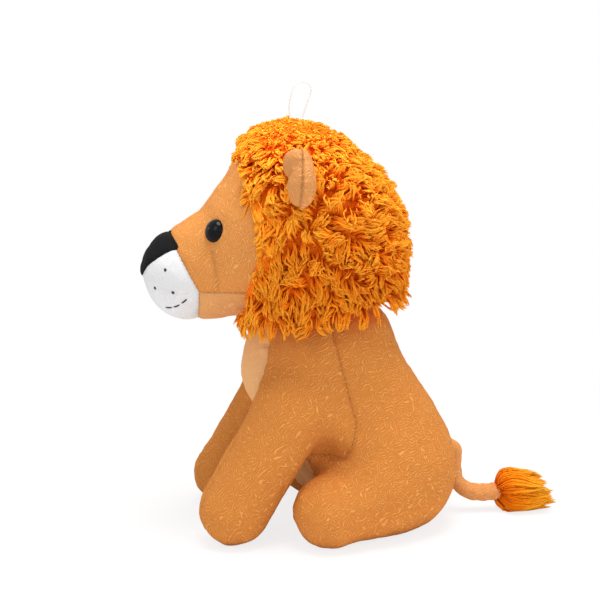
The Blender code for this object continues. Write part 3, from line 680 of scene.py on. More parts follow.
# %% [markdown]
# The stuffed skin then gets what sewn cloth has: gentle lumps from the filling, small gathers beside each
# seam, and a groove along it. Below, it rests flat on the floor.

# %% Body skin
def body_start(points):
    """The lion's form, drawn in by what the filling will add."""
    return lion_field(points) + np.interp(points[:, 2], [8, 26], [0.7, 1.7])


BODY_BOX = ((-74, -112, -12), (74, 48, 134))
skin = stuffed_skin("body_skin", body_start, BODY_BOX, 3.4, (body_seams, 2.6), 1.7, 2)
points = points_of(skin)
gap = body_seams(points)
gathers = wobble(points, 4.5, 9) * bell(gap, 4.0) * 0.35
relief = wobble(points, 16, 3) * 0.35 + wobble(points, 6, 4) * 0.12 + gathers - bell(gap, 1.1) * 0.7
points += normals_of(skin) * relief[:, None]
points[:, 2] = np.maximum(points[:, 2], 0)
move_points(skin, points)
print("body skin:", len(skin.data.polygons), "faces")

# %% [markdown]
# The skin is now cut along its seams into the real pattern pieces. Each cut is a plane through the mesh, so
# the edges are crisp, and each face then goes to the panel that its middle lies in. The edges where two
# panels meet are kept for the stitches.

# %% Cut a skin into panels
def cut_mesh(item, planes, ahead_of=math.inf):
    """Adds the edges where planes, each a point and a normal in mm, cross a mesh, or what is ahead of a y."""
    form = bmesh.new()
    form.from_mesh(item.data)
    for point, normal in planes:
        faces = [face for face in form.faces if min(vert.co.y for vert in face.verts) < ahead_of * MM]
        edges = {edge for face in faces for edge in face.edges}
        corners = {vert for face in faces for vert in face.verts}
        bmesh.ops.bisect_plane(form, geom=list(corners) + list(edges) + faces, plane_co=Vector(point) * MM,
                               plane_no=Vector(normal), dist=1e-6)
    form.to_mesh(item.data)
    form.free()


def panels_of(item, chooser, names):
    """New objects for the faces of each panel, and the seam edges between panels."""
    mesh = item.data
    points = points_of(item)
    faces = [tuple(face.vertices) for face in mesh.polygons]
    middles = np.array([points[list(face)].mean(axis=0) for face in faces])
    panel = chooser(middles)
    made = {}
    for number, name in enumerate(names):
        chosen = [faces[index] for index in np.flatnonzero(panel == number)]
        used = np.unique(np.concatenate([np.array(face) for face in chosen]))
        place = np.full(len(points), -1)
        place[used] = np.arange(len(used))
        made[name] = mesh_object(name, points[used], [place[list(face)] for face in chosen])
    owners = {}
    for face, number in zip(faces, panel):
        for a, b in zip(face, face[1:] + face[:1]):
            owners.setdefault((min(a, b), max(a, b)), set()).add(int(number))
    seams = {}
    for edge, numbers in owners.items():
        if len(numbers) == 2 and min(numbers) >= 0:
            seams.setdefault(tuple(sorted(numbers)), []).append(edge)
    return made, points, seams


# %% [markdown]
# Dressing a piece is the same for all of them. It gets the thickness of its cloth, a mark on the points near a
# seam, which its finish reads to paint shade along the seam, then its material and smooth shading. Last the
# solids of the imported model that it stands for are hidden.

# %% Dress a piece
def mark_points(item, name, values):
    layer = item.data.attributes.get(name) or item.data.attributes.new(name, "FLOAT", "POINT")
    layer.data.foreach_set("value", np.asarray(values, np.float32))


def dress(item, material, nodes, seam_distance=None, thickness=1.2):
    """Gives a panel its thickness, finish and smooth shading, marks the points near a seam, and hides its CAD
    nodes.
    """
    if thickness:
        shell = item.modifiers.new("cloth_thickness", "SOLIDIFY")
        shell.thickness = thickness * MM
        shell.offset = -1
        shell.use_rim = True
        applied(item)
    points = points_of(item)
    mark_points(item, "seam", bell(seam_distance(points), 0.8) if seam_distance else np.zeros(len(points)))
    coated(item, material)
    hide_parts(*nodes)
    return item


# %% [markdown]
# The body has a pale panel for chest and belly, and a front and a rear panel on each side. A leg is no piece
# of its own: it is part of the front or rear panel of its side, and a short stretch of shoulder or hip is
# listed for each leg, where that panel would bend with the joint.

# %% Body panels
FLANK = (0, 1, math.tan(math.radians(13.9)))
BELLY_WIDE, BELLY_TOP = 31.0, 44
planes = [((0, 0, 0), (1, 0, 0)), ((0, -21.6, 67), FLANK), ((0, -23.2, 56), (0, 1, -0.145)),
          ((0, -27.5, 45), (0, 1, -0.39)), ((0, 0, HAUNCH_SEAM), (0, 0, 1)),
          ((0, ARMPIT_Y, ARMPIT_Z), (0, 1, -ARMPIT_LEAN)),
          ((0, ARMPIT_Y + FAR_ARMPIT_BACK, ARMPIT_Z), (0, 1, -ARMPIT_LEAN)),
          ((0, CHEST_FOOT, 0), (0, 1, CHEST_LEAN)), ((0, 0, BELLY_TOP), (0, 0, 1)),
          ((BELLY_WIDE, 0, 0), (1, 0, 0)), ((-BELLY_WIDE, 0, 0), (1, 0, 0))]
for side in SIDES.values():
    planes += [((side * 27.5, 0, 80), (side, 0, 6.5 / 38)), ((side * 11.5, 0, 62), (side, 0, -16 / 18)),
               ((side * 11.5, 0, 62), (1, 0, 0))]
cut_mesh(skin, planes)
BODY_PANELS = ("chest_and_belly", "front_left", "front_right", "rear_left", "rear_right")
LEGS = {"front": ("front_leg", SHOULDER, (PAW - SHOULDER) / np.linalg.norm(PAW - SHOULDER), (12, 32)),
        "rear": ("hind_leg", HIP, np.array([0.6, -0.5, -0.62]), (0, 12))}


def body_panel(middles):
    """The number of the panel that each face's middle lies in."""
    x, y, z = middles.T
    belly = (z < BELLY_TOP) & (np.abs(x) < BELLY_WIDE) & (leg_line(middles) < 0)
    chest = (belly | (np.abs(x) < chest_seam_x(z))) & (y < CHEST_FOOT - CHEST_LEAN * z)
    front = np.where(z > HAUNCH_SEAM, y < side_seam_y(z), leg_line(middles) > 0)
    number = np.where(front, 1, 3) + (x < 0)
    return np.where(chest, 0, number)


panels, skin_points, skin_seams = panels_of(skin, body_panel, BODY_PANELS)
bpy.data.objects.remove(skin)
dress(panels["chest_and_belly"], pale_nap, ["chest_panel"], body_seams)
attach(panels["chest_and_belly"], "torso")
sways = {}
for word, side in SIDES.items():
    for part, (leg, joint, direction, reaches) in LEGS.items():
        name = f"{part}_{word}"
        nodes = [f"body_{name}", f"{leg}_{word}_cover", f"{leg}_{word}_stuffing"]
        dress(panels[name], tan_nap, nodes, body_seams)
        start, end = ((joint + direction * reach) * (side, 1, 1) * MM for reach in reaches)
        sways[name] = (f"{leg}_{word}", tuple(start), tuple(end))
for name, sway in sways.items():
    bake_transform(panels[name])
print("body panels:", {name: len(item.data.polygons) for name, item in panels.items()})

# %% [markdown]
# Behind the seams lies the filling in its inner cloth. It only shows where a leg swings away from a seam, so
# a plain closed form just under the skin does, in the same nap.

# %% Inner body
INNER_DEPTH, INNER_FOOT = 3.2, 1.5
inner = skin_of(lambda p: torso_field(p) + INNER_DEPTH, (-60, -92, -4), (60, 46, 132), 4.0)
core = mesh_object("inner_body", *inner)
core_points = points_of(core)
core_points[:, 2] = np.maximum(core_points[:, 2], INNER_FOOT)
move_points(core, core_points)
rounded(core, 1)
dress(core, tan_nap, ["body_stuffing"], thickness=0)
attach(core, "torso")
print("inner body:", len(core.data.polygons), "faces")

# %% [markdown]
# ## Head
# The head is a stuffed form that narrows to a blunt white muzzle. A seam leans across it where white meets
# tan, one runs along the jaw over a paler chin panel, and a short dart takes in the cheek below the eye.

# %% Head field
HEAD_SHARES = ((0.000, 0.36, 0.00, 0.00), (0.052, 0.24, 0.72, 0.72), (0.126, 0.12, 0.89, 0.91),
               (0.281, 0.04, 0.98, 1.00), (0.459, 0.00, 1.00, 1.00), (0.607, 0.20, 0.894, 0.935),
               (0.681, 0.44, 0.787, 0.841), (0.741, 0.76, 0.681, 0.696), (0.793, 0.88, 0.596, 0.641),
               (0.867, 1.00, 0.532, 0.554), (0.933, 0.96, 0.426, 0.446), (0.978, 0.92, 0.255, 0.261),
               (1.000, 0.88, 0.00, 0.00))
HEAD_BACK, HEAD_LONG, HEAD_MIDDLE, MUZZLE_DROP, HEAD_TALL, HEAD_WIDE = 2, 135, 167, 25, 46, 47
HEAD_ROWS = smooth_path([(HEAD_BACK - HEAD_LONG * length, HEAD_MIDDLE - MUZZLE_DROP * drop, HEAD_TALL * tall,
                          HEAD_WIDE * wide) for length, drop, wide, tall in reversed(HEAD_SHARES)])
HEAD_DIPS = ((4.0, 88, 6.5, 176, 14), (1.4, 96, 14, 163, 10), (2.2, 128, 8, 146, 8))
EYE = np.array([27.6, -96.0, 168.9])
EYE_OUTWARD = np.array([0.5523, -0.7602, 0.3420])
CHIN_SEAM = 136.0
MUZZLE_SEAM, MUZZLE_LEAN = -103.5, 0.532
DART_Y, DART_TOP, DART_LEAN = -96.5, 159, 0.14


def head_field(points):
    """The head, pressed in at the brow, on the bridge and above the nose, and round each eye."""
    y, z = points[:, 1], points[:, 2]
    form = stack_field(points, HEAD_ROWS, 1, 2, 0)
    for depth, place, width, start, reach in HEAD_DIPS:
        form = form + depth * bell(y + place, width) * ramp(z, start, reach)
    socket = np.linalg.norm(halved(points) - (EYE + EYE_OUTWARD * 4), axis=1)
    return form + bell(socket, 9.0) * 1.6


def muzzle_seam_y(height):
    """The seam leans forward above the jaw and is upright below it."""
    return np.where(height > CHIN_SEAM, MUZZLE_SEAM - (height - CHIN_SEAM) * MUZZLE_LEAN, MUZZLE_SEAM)


def head_seams(points):
    """How far points are from the nearest seam, in mm."""
    side, y, z = np.abs(points[:, 0]), points[:, 1], points[:, 2]
    muzzle = np.abs(y - muzzle_seam_y(z)) * 0.88
    chin = np.where(y > muzzle_seam_y(z), np.abs(z - CHIN_SEAM), FAR_OFF)
    on_dart = (z > CHIN_SEAM) & (z < DART_TOP) & (side > 20)
    dart = np.where(on_dart, np.abs(y - DART_Y - (DART_TOP - z) * DART_LEAN), FAR_OFF)
    middle = np.where((y > -118) & (z > 150), side, FAR_OFF)
    return np.min([muzzle, chin, dart, middle], axis=0)


# %% [markdown]
# The head is filled like the body, in a finer mesh and with smaller lumps, because it is smaller and firmer.
# Planes then cut it at the muzzle's seam and along the jaw, and behind the face, where the mane covers
# everything.

# %% Head skin
FACE_BACK = -44.0
HEAD_BOX = ((-52, -138, 112), (52, 6, 218))
head = stuffed_skin("head_skin", lambda p: head_field(p) + 1.7, HEAD_BOX, 3.0, (head_seams, 2.2), 1.5, 2)
points = points_of(head)
relief = wobble(points, 14, 5) * 0.3 + wobble(points, 5, 6) * 0.1 - bell(head_seams(points), 0.9) * 0.55
move_points(head, points + normals_of(head) * relief[:, None])
cut_mesh(head, [((0, MUZZLE_SEAM, CHIN_SEAM), (0, 1, MUZZLE_LEAN)), ((0, MUZZLE_SEAM, 0), (0, 1, 0)),
                ((0, 0, CHIN_SEAM), (0, 0, 1)), ((0, FACE_BACK, 0), (0, 1, 0))])
print("head skin:", len(head.data.polygons), "faces")

# %% [markdown]
# ## Nose
# The nose is a rounded triangle of black cloth on the tip of the muzzle. Its outline, seen from the front, is
# cut into the skin by one plane for each of its sides, and what lies inside becomes a panel of its own.

# %% Outline of the nose
NOSE_SHARES = ((0.0, 0.0), (0.24, 0.07), (0.58, 0.25), (0.80, 0.46), (0.94, 0.66), (1.0, 0.775), (0.87, 0.84),
               (0.60, 0.935), (0.30, 0.99), (0.0, 1.0))
NOSE_SIZE, NOSE_BOTTOM, NOSE_BACK = (18.0, 24.0), 140.5, -112.0
nose_side = [(wide * NOSE_SIZE[0], NOSE_BOTTOM + high * NOSE_SIZE[1]) for wide, high in NOSE_SHARES]
nose_outline = nose_side + [(-x, z) for x, z in reversed(nose_side[1:-1])]
nose_lines = [(np.array(a), np.array(b)) for a, b in zip(nose_outline, nose_outline[1:] + nose_outline[:1])]
cut_mesh(head, [((a[0], 0, a[1]), (b[1] - a[1], 0, a[0] - b[0])) for a, b in nose_lines], NOSE_BACK)


def inside_nose(points):
    """How far points lie inside the nose's outline, seen from the front; less than nothing outside."""
    depths = []
    for a, b in nose_lines:
        outward = np.array([b[1] - a[1], a[0] - b[0]]) / np.linalg.norm(b - a)
        depths.append((a - points[:, [0, 2]]) @ outward)
    return np.where(points[:, 1] < NOSE_BACK, np.min(depths, axis=0), -FAR_OFF)


print("sides of the nose's outline:", len(nose_lines))

# %% [markdown]
# The head's cloth is white on the muzzle, tan on the face and pale under the chin. The whole skin is kept as
# a tree of faces, in which the embroidery later finds the cloth. The nose is padded a little, most in its
# middle.

# %% Head panels
def head_panel(middles):
    """The number of the panel that each face's middle lies in, or -1 behind the face."""
    y, z = middles[:, 1], middles[:, 2]
    panel = np.where(y < muzzle_seam_y(z), 0, np.where(z > CHIN_SEAM, 1, 2))
    panel = np.where(inside_nose(middles) > 0, NOSE_PANEL, panel)
    return np.where(y > FACE_BACK, -1, panel)


HEAD_PANELS = ("muzzle", "face", "chin", "nose")
NOSE_PANEL = HEAD_PANELS.index("nose")
head_parts, head_points, head_edges = panels_of(head, head_panel, HEAD_PANELS)
head_faces = [tuple(face.vertices) for face in head.data.polygons]
head_tree = BVHTree.FromPolygons(points_of(head).tolist(), head_faces)
bpy.data.objects.remove(head)
nose = head_parts["nose"]
points = points_of(nose)
padding = 0.25 + 0.5 * np.sqrt(np.clip(inside_nose(points) / 2.4, 0, 1))
move_points(nose, points + normals_of(nose) * padding[:, None])
dress(nose, black_nap, ["nose_patch"], thickness=1.3)
dress(head_parts["muzzle"], white_nap, ["muzzle_cover", "head_stuffing"], head_seams)
dress(head_parts["face"], face_nap, ["face_cover"], head_seams)
dress(head_parts["chin"], chin_nap, ["chin_panel"], head_seams)
for item in head_parts.values():
    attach(item, "head")
print("head panels:", {name: len(item.data.polygons) for name, item in head_parts.items()})

# %% [markdown]
# ## Eyes
# A safety eye is a polished black dome on a stem, pushed through the cloth and locked by a washer inside. A
# turned profile gives the dome and its rolled rim.

# %% Turned forms
def turned(name, point, outward, profile, sides):
    """A closed turned form along a direction, from rows of distance out and radius, in mm."""
    outward = Vector(outward).normalized()
    across = outward.orthogonal().normalized()
    along = outward.cross(across)
    rows = np.asarray(profile, float)
    verts, faces = [], []
    for reach, radius in rows:
        for step in range(sides):
            turn = 2 * math.pi * step / sides
            spoke = np.array(across) * math.cos(turn) + np.array(along) * math.sin(turn)
            verts.append(np.array(point) + np.array(outward) * reach + spoke * radius)
    for start in range(0, (len(rows) - 1) * sides, sides):
        for step in range(sides):
            ahead = (step + 1) % sides
            faces.append([start + step, start + ahead, start + sides + ahead, start + sides + step])
    faces.append(list(range(sides))[::-1])
    faces.append([(len(rows) - 1) * sides + step for step in range(sides)])
    return mesh_object(name, verts, faces)


# %% [markdown]
# Each dome sits in the hollow that the head's field leaves for it, so that the cloth closes round its rim.
# The washers are inside the head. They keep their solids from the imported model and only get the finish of
# dull plastic.

# %% Eyes
DOME_FOOT, DOME_TALL, DOME_WIDE = 0.4, 4.7, 6.4
EYE_PROFILE = [(-3.0, 2.0), (-1.6, 5.2), (-1.0, 6.1), (-0.3, DOME_WIDE), (DOME_FOOT, 6.35)]
EYE_PROFILE += [(DOME_FOOT + DOME_TALL * math.sin(turn), DOME_WIDE * math.cos(turn))
                for turn in map(math.radians, range(8, 90, 9))]
EYE_PROFILE += [(DOME_FOOT + DOME_TALL, 0.15)]
for word, side in SIDES.items():
    mirror = np.array([side, 1, 1])
    seat = (EYE - EYE_OUTWARD * 1.1 + (0, 0.9, 0.2)) * mirror
    eye = turned(f"eye_dome_{word}", seat, EYE_OUTWARD * mirror, EYE_PROFILE, 40)
    dress(eye, eye_gloss, [f"eye_{word}"], thickness=0)
    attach(eye, "head")
    washer_materials = frame["nodes"][f"eye_washer_{word}"].data.materials
    washer_materials.clear()
    washer_materials.append(washer_plastic)
print("eyes at", EYE, "mm")

# %% [markdown]
# ## Thread
# Stitches are short lengths of thread that dip into the cloth at both ends. One helper sweeps a small section
# with a few sides along many paths at once, and the same helper makes the strands of the mane later. A radius
# for each ring lets a strand thin out towards its tip.

# %% Sweep strands
def swept_strands(paths, radii, sides):
    """Points and faces of many strands; paths is (strands, rings, 3) and radii is (strands, rings)."""
    strands, rings = radii.shape
    tangent = np.gradient(paths, axis=1)
    tangent /= np.maximum(np.linalg.norm(tangent, axis=2, keepdims=True), 1e-9)
    helper = np.eye(3)[np.abs(tangent).max(axis=1).argmin(axis=1)][:, None]
    across = np.cross(tangent, np.broadcast_to(helper, tangent.shape))
    across /= np.maximum(np.linalg.norm(across, axis=2, keepdims=True), 1e-9)
    along = np.cross(tangent, across)
    turns = 2 * np.pi * np.arange(sides) / sides
    circle = across[:, :, None] * np.cos(turns)[:, None] + along[:, :, None] * np.sin(turns)[:, None]
    verts = (paths[:, :, None] + circle * radii[:, :, None, None]).reshape(-1, 3)
    base = (np.arange(strands)[:, None] * rings + np.arange(rings - 1)[None]).reshape(-1, 1) * sides
    step, ahead = np.arange(sides), (np.arange(sides) + 1) % sides
    quads = np.stack([base + step, base + ahead, base + sides + ahead, base + sides + step], -1)
    return verts, quads.reshape(-1, 4)


def strand_object(name, paths, radii, sides, tone=0.5):
    """One mesh of many strands that carries how far along each point is, and the tone of each strand."""
    paths, radii = np.asarray(paths, float), np.asarray(radii, float)
    verts, quads = swept_strands(paths, radii, sides)
    strands, rings = radii.shape
    first = (np.arange(strands) * rings * sides)[:, None]
    caps = np.vstack([first + np.arange(sides)[::-1], first + (rings - 1) * sides + np.arange(sides)])
    mesh = bpy.data.meshes.new(name)
    mesh.vertices.add(len(verts))
    mesh.vertices.foreach_set("co", (verts * MM).ravel())
    corners = np.concatenate([quads.ravel(), caps.ravel()])
    starts = np.concatenate([np.arange(len(quads)) * 4, len(quads) * 4 + np.arange(len(caps)) * sides])
    mesh.loops.add(len(corners))
    mesh.loops.foreach_set("vertex_index", corners.astype(np.int32))
    mesh.polygons.add(len(starts))
    mesh.polygons.foreach_set("loop_start", starts.astype(np.int32))
    mesh.update(calc_edges=True)
    item = placed(name, mesh)
    mark_points(item, "along", np.tile(np.repeat(np.linspace(0, 1, rings), sides), strands))
    mark_points(item, "tone", np.repeat(np.broadcast_to(tone, strands), rings * sides))
    return item


def thread_piece(name, paths, radius, sides, material, nodes=()):
    """Thread along some paths, with one radius or with one for each ring."""
    thread = strand_object(name, paths, np.broadcast_to(radius, np.shape(paths)[:2]), sides)
    return dress(thread, material, nodes, thickness=0)


# %% [markdown]
# The edges where two panels meet are joined end to end into runs. A stitch then stands at every few
# millimetres of a run, a little proud of the cloth in its middle and under it at both ends.

# %% Stitches along a seam
def chains(edges):
    """Edges joined end to end into runs of point numbers."""
    links = {}
    for a, b in edges:
        links.setdefault(a, []).append(b)
        links.setdefault(b, []).append(a)
    runs, left = [], {tuple(sorted(edge)) for edge in edges}
    ends = [point for point, near in links.items() if len(near) == 1] + list(links)
    for start in ends:
        run = [start]
        while True:
            step = next((b for b in links[run[-1]] if tuple(sorted((run[-1], b))) in left), None)
            if step is None:
                break
            left.discard(tuple(sorted((run[-1], step))))
            run.append(step)
        if len(run) > 3:
            runs.append(run)
    return runs


def stitch_paths(points, edges, pitch, length, lift, centre):
    """Short curved paths along seams, raised away from a centre line point by a lift."""
    paths = []
    for run in chains(edges):
        line = points[run]
        reach = np.concatenate([[0], np.cumsum(np.linalg.norm(np.diff(line, axis=0), axis=1))])
        for middle in np.arange(pitch / 2, reach[-1] - pitch / 2, pitch):
            share = np.linspace(-0.5, 0.5, 5)
            places = middle + share * length
            path = np.stack([np.interp(places, reach, line[:, axis]) for axis in range(3)], 1)
            away = path[2] - centre(path[2])
            away /= np.linalg.norm(away)
            paths.append(path + away * (lift * (1 - (2 * share) ** 2) - 0.25)[:, None])
    return np.array(paths)


def body_centre(point):
    return np.array([0, np.interp(point[2], BODY_ROWS[:, 0], BODY_ROWS[:, 1]), point[2]])


def head_centre(point):
    return np.array([0, point[1], np.interp(point[1], HEAD_ROWS[:, 0], HEAD_ROWS[:, 1])])


# %% [markdown]
# The stitches of the body are one piece for each panel. Low at the back, round the tail's root, none are laid.
# On the head only the stitches ahead of the mane are made, and the nose has none of its own.

# %% Stitches of body and head
MANE_EDGE = -80
for number, name in enumerate(BODY_PANELS[1:], 1):
    edges = [edge for numbers, edges in skin_seams.items() if max(numbers) == number for edge in edges]
    paths = stitch_paths(skin_points, edges, 3.2, 1.7, 0.3, body_centre)
    paths = paths[(paths[:, 2, 1] < 25) | (paths[:, 2, 2] > 54)]
    body_stitches = thread_piece(f"{name}_stitches", paths, 0.17, 6, tan_thread)
    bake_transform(body_stitches)
edges = [edge for numbers, edges in head_edges.items() if NOSE_PANEL not in numbers for edge in edges]
paths = stitch_paths(head_points, edges, 2.8, 1.5, 0.3, head_centre)
paths = paths[paths[:, 2, 1] < MANE_EDGE]
head_stitches = thread_piece("head_stitches", paths, 0.14, 6, tan_thread)
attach(head_stitches, "head")
print("head stitches:", len(head_stitches.data.polygons), "faces")

# %% [markdown]
# ## Whisker dots and mouth
# Three small knots on each cheek and three slanted dashes for the mouth are embroidered with thick black
# thread. Their places are given on the head's skin, by how far behind the nose and how far round the muzzle
# they are. A ray from outside finds the cloth there.

# %% Embroidery
NOSE_TIP, MUZZLE_LONG, RAY_START = -133, 29.5, 8
DOT_PLACES = ((0.40, 13), (0.22, -22), (0.53, -16))
MOUTH_LINES = (((0.39, -51), (0.45, -47), (0.51, -43)), ((0.53, -41), (0.59, -37), (0.65, -33)),
               ((0.68, -31), (0.73, -28), (0.78, -25)))
MOUTH_LIFTS = (-0.15, 0.25, -0.15)


def head_point(setback, degrees, side, lift=0.0):
    """A point on the head's skin, a share of the muzzle behind the nose and an angle above the side."""
    y = NOSE_TIP + setback * MUZZLE_LONG
    angle = math.radians(degrees)
    middle, tall, wide = (np.interp(y, HEAD_ROWS[:, 0], HEAD_ROWS[:, column]) for column in (1, 2, 3))
    place = np.array([wide * math.cos(angle), y, middle + tall * math.sin(angle)])
    slope = head_field(place + np.eye(3) * 0.5) - head_field(place[None])
    outward = slope / np.linalg.norm(slope) * (side, 1, 1)
    start = Vector(place * (side, 1, 1) + outward * RAY_START)
    return np.array(head_tree.ray_cast(start, Vector(-outward))[0]) + outward * lift, outward


for word, side in SIDES.items():
    for count, (setback, degrees) in enumerate(DOT_PLACES, 1):
        middle, outward = head_point(setback, degrees, side)
        across = np.cross(outward, (0.3, 0.2, 1.0))
        across /= np.linalg.norm(across)
        rise = np.cross(outward, across)
        paths = []
        for turn in (0.3, 1.4, 2.4):
            run = (across * math.cos(turn) + rise * math.sin(turn)) * 0.75
            paths.append([middle + run * share + outward * (0.35 - 0.55 * share ** 2)
                          for share in (-1, -0.5, 0, 0.5, 1)])
        dot = thread_piece(f"whisker_knot_{word}_{count}", paths, 0.33, 8, black_thread,
                           [f"whisker_dot_{word}_{count}"])
        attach(dot, "head")
    for count, line in enumerate(MOUTH_LINES, 1):
        path = smooth_path([head_point(*place, side, lift)[0] for place, lift in zip(line, MOUTH_LIFTS)])
        radii = np.interp(np.linspace(0, 1, len(path)), [0, 0.2, 0.8, 1], [0.22, 0.42, 0.42, 0.22])
        dash = thread_piece(f"mouth_thread_{word}_{count}", [path], radii, 8, black_thread,
                            [f"mouth_stitch_{word}_{count}"])
        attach(dash, "head")
print("embroidery done on both cheeks")

# %% [markdown]
# ## Ears
# Each ear is two rounds of nap cloth, sewn round the edge, lightly stuffed and folded a little at its middle,
# so from the edge it looks like a peanut with a seam down its length. The shape is a flat ellipsoid with a
# fuller lobe above and below, mixed as fields. It is made in the ear's own frame and then put in its place on
# the head.

# %% Ear field
EAR_TILT = math.radians(30)
EAR_SEAM, EAR_SEAM_LEAN = -1.9, 0.06


def ear_frame(side):
    """The middle of one ear, and its directions as columns: out from the head, front to back, and up."""
    outward = np.array([side * math.cos(EAR_TILT), 0, math.sin(EAR_TILT)])
    upward = np.array([-side * math.sin(EAR_TILT), 0, math.cos(EAR_TILT)])
    middle = np.array([side * 46.4, -51.0, 193.3]) + outward * 10.9
    return middle, np.stack([outward, np.array([0, 1, 0]), upward], 1)


def in_ear(points, side):
    """Points of the lion in the frame of one ear."""
    middle, axes = ear_frame(side)
    return (points - middle) @ axes


def out_of_ear(points, side):
    """Points in the frame of one ear as points of the lion."""
    middle, axes = ear_frame(side)
    return middle + points[:, :1] * axes[:, 0] + points[:, 1:2] * axes[:, 1] + points[:, 2:] * axes[:, 2]


def lobe(points, centre, radii):
    return (np.linalg.norm((points - centre) / radii, axis=1) - 1) * min(radii)


def ear_field(points):
    """Distance to the ear's form, in its own frame."""
    disc = lobe(points, (0, -1.3, 0.6), (16.0, 3.6, 13.6))
    top = lobe(points, (1.5, -4.4, 8.8), (12.0, 5.9, 6.2))
    low = lobe(points, (1.5, -1.9, -4.4), (12.0, 6.5, 8.8))
    back = lobe(points, (0, 0.6, 1.5), (12.5, 4.0, 12.0))
    return blended(blended(blended(disc, top, 3.0), low, 3.0), back, 4.0)


def ear_seams(points):
    return np.abs(points[:, 1] - EAR_SEAM - points[:, 2] * EAR_SEAM_LEAN)


# %% [markdown]
# The edge seam puckers the cloth on both sides of it. Its stitches stand on the outer rim, and each one's
# place is read from the ear's own points near the seam. A mirrored ear has its faces turned round, so that
# they look outwards.

# %% Ears
EAR_BOX = ((-22, -16, -22), (22, 16, 22))


def ear_start(points):
    """The ear's form, drawn in by what the filling will add."""
    return ear_field(points) + 0.5


def rim_paths(points):
    """Short paths along the ear's rim, in its own frame."""
    paths, share = [], np.linspace(-0.7, 0.7, 5)
    for height in np.arange(-12, 14.1, 2.6):
        row = points[np.abs(points[:, 2] - height) < 1.0]
        near = row[ear_seams(row) < 1.2]
        out = near[:, 0].max() if len(near) else 0
        seam = EAR_SEAM + (height + share) * EAR_SEAM_LEAN
        paths.append(np.stack([out + 0.25 - 0.5 * share ** 2, seam, height + share], 1))
    return paths


for word, side in SIDES.items():
    ear = stuffed_skin(f"ear_round_{word}", ear_start, EAR_BOX, 1.9, (ear_seams, 1.6), 0.9, 1)
    points = points_of(ear)
    gap = ear_seams(points)
    pucker = bell(gap, 3.5) * np.sin(points[:, 2] * 1.9 + np.sin(points[:, 0]) * 2) * 0.35
    points += normals_of(ear) * (pucker + wobble(points, 7, 8) * 0.25 - bell(gap, 0.7) * 0.6)[:, None]
    move_points(ear, out_of_ear(points, side))
    if side < 0:
        ear.data.flip_normals()
    dress(ear, ear_nap, [f"ear_{word}_front", f"ear_{word}_back"], thickness=0)
    mark_points(ear, "seam", bell(ear_seams(points), 0.7))
    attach(ear, f"ear_{word}")
    rim = [out_of_ear(path, side) for path in rim_paths(points)]
    rim_stitches = thread_piece(f"ear_stitches_{word}", rim, 0.16, 6, tan_thread)
    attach(rim_stitches, f"ear_{word}")
print("ear faces:", len(ear.data.polygons))

# %% [markdown]
# ## Tail
# The tail is a thin stuffed tube that drops from the back, turns along the floor and wrinkles at its bend.
# Shallow rings in its radius make the wrinkles. Its root is sewn into the back seam, so the route starts a
# little inside the body.

# %% Tail
TAIL_SHARES = ((0.0, 0.0), (0.09, 0.14), (0.09, 0.33), (0.09, 0.56), (0.14, 0.78), (0.32, 0.94), (0.55, 1.0),
               (0.78, 1.0), (1.0, 0.98))
TAIL_ROOT, TAIL_RUN, TAIL_DROP = np.array([0, 38.5, 43.5]), 30.0, 32.8
tail_route = [TAIL_ROOT + (0, run * TAIL_RUN, -drop * TAIL_DROP) for run, drop in TAIL_SHARES]
tail_route[0] = TAIL_ROOT + (0, -6.0, -1.5)
tail_route[1] = TAIL_ROOT + (0, 2.2, -6.0)
tail_path = smooth_path(tail_route, 9)
reach = np.linspace(0, 1, len(tail_path))
wrinkles = 0.18 * np.sin(reach * 60) * np.clip((reach - 0.45) * 3, 0, 1)
tail_radii = np.interp(reach, [0, 0.45, 0.7, 1], [3.8, 4.0, 4.9, 4.9]) - wrinkles
tail_radii[0], tail_radii[-2], tail_radii[-1] = 2.2, 4.6, 3.4
tail = strand_object("tail_tube", [tail_path], [tail_radii], 28)
tail_points = points_of(tail)
tail_points += normals_of(tail) * (wobble(tail_points, 6, 12) * 0.2)[:, None]
move_points(tail, tail_points)
dress(tail, ear_nap, ["tail"], thickness=0)
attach(tail, "tail")
print("tail length in mm:", round(length_of(tail_path)))

# %% [markdown]
# ## Mane
# The mane is a hood of long pile round the head. Its backing follows the head a little way under the outer
# shape, and thousands of wavy locks grow out of it and hang. The sections repeat those of the solid mane.

# %% Mane field and backing
MANE_SHARES = ((0.00, 0.875, 0.69, 0.79), (0.05, 0.96, 0.81, 0.84), (0.12, 1.00, 0.91, 0.90),
               (0.23, 1.00, 0.97, 0.95), (0.37, 1.00, 1.00, 1.00), (0.52, 1.00, 0.94, 1.00),
               (0.65, 1.00, 0.81, 0.955), (0.76, 1.00, 0.63, 0.86), (0.85, 0.99, 0.39, 0.70),
               (0.93, 0.87, 0.19, 0.49), (0.98, 0.64, -0.05, 0.26), (1.00, 0.375, -0.364, 0.0))
MANE_FOOT, MANE_TALL, MANE_WIDE = 108, 117.5, 57
MANE_MIDDLE, MANE_FRONT, MANE_BACK = -36, 48, 49.5
MANE_DEPTH = 5.5


def mane_row(high, front, back, wide):
    """One section: its height, its middle and its two half sizes."""
    ahead, behind = MANE_MIDDLE - front * MANE_FRONT, MANE_MIDDLE + back * MANE_BACK
    half_long = (behind - ahead) / 2 * (wide > 0)
    return MANE_FOOT + high * MANE_TALL, (ahead + behind) / 2, half_long, wide * MANE_WIDE


MANE_ROWS = smooth_path([mane_row(*row) for row in MANE_SHARES])


def hem_height(points):
    return 112 + (points[:, 1] + 84) * 0.144


def mane_field(points):
    form = stack_field(points, MANE_ROWS, 2, 1, 0, (2.1, 2.9))
    return np.maximum(form, hem_height(points) - points[:, 2])


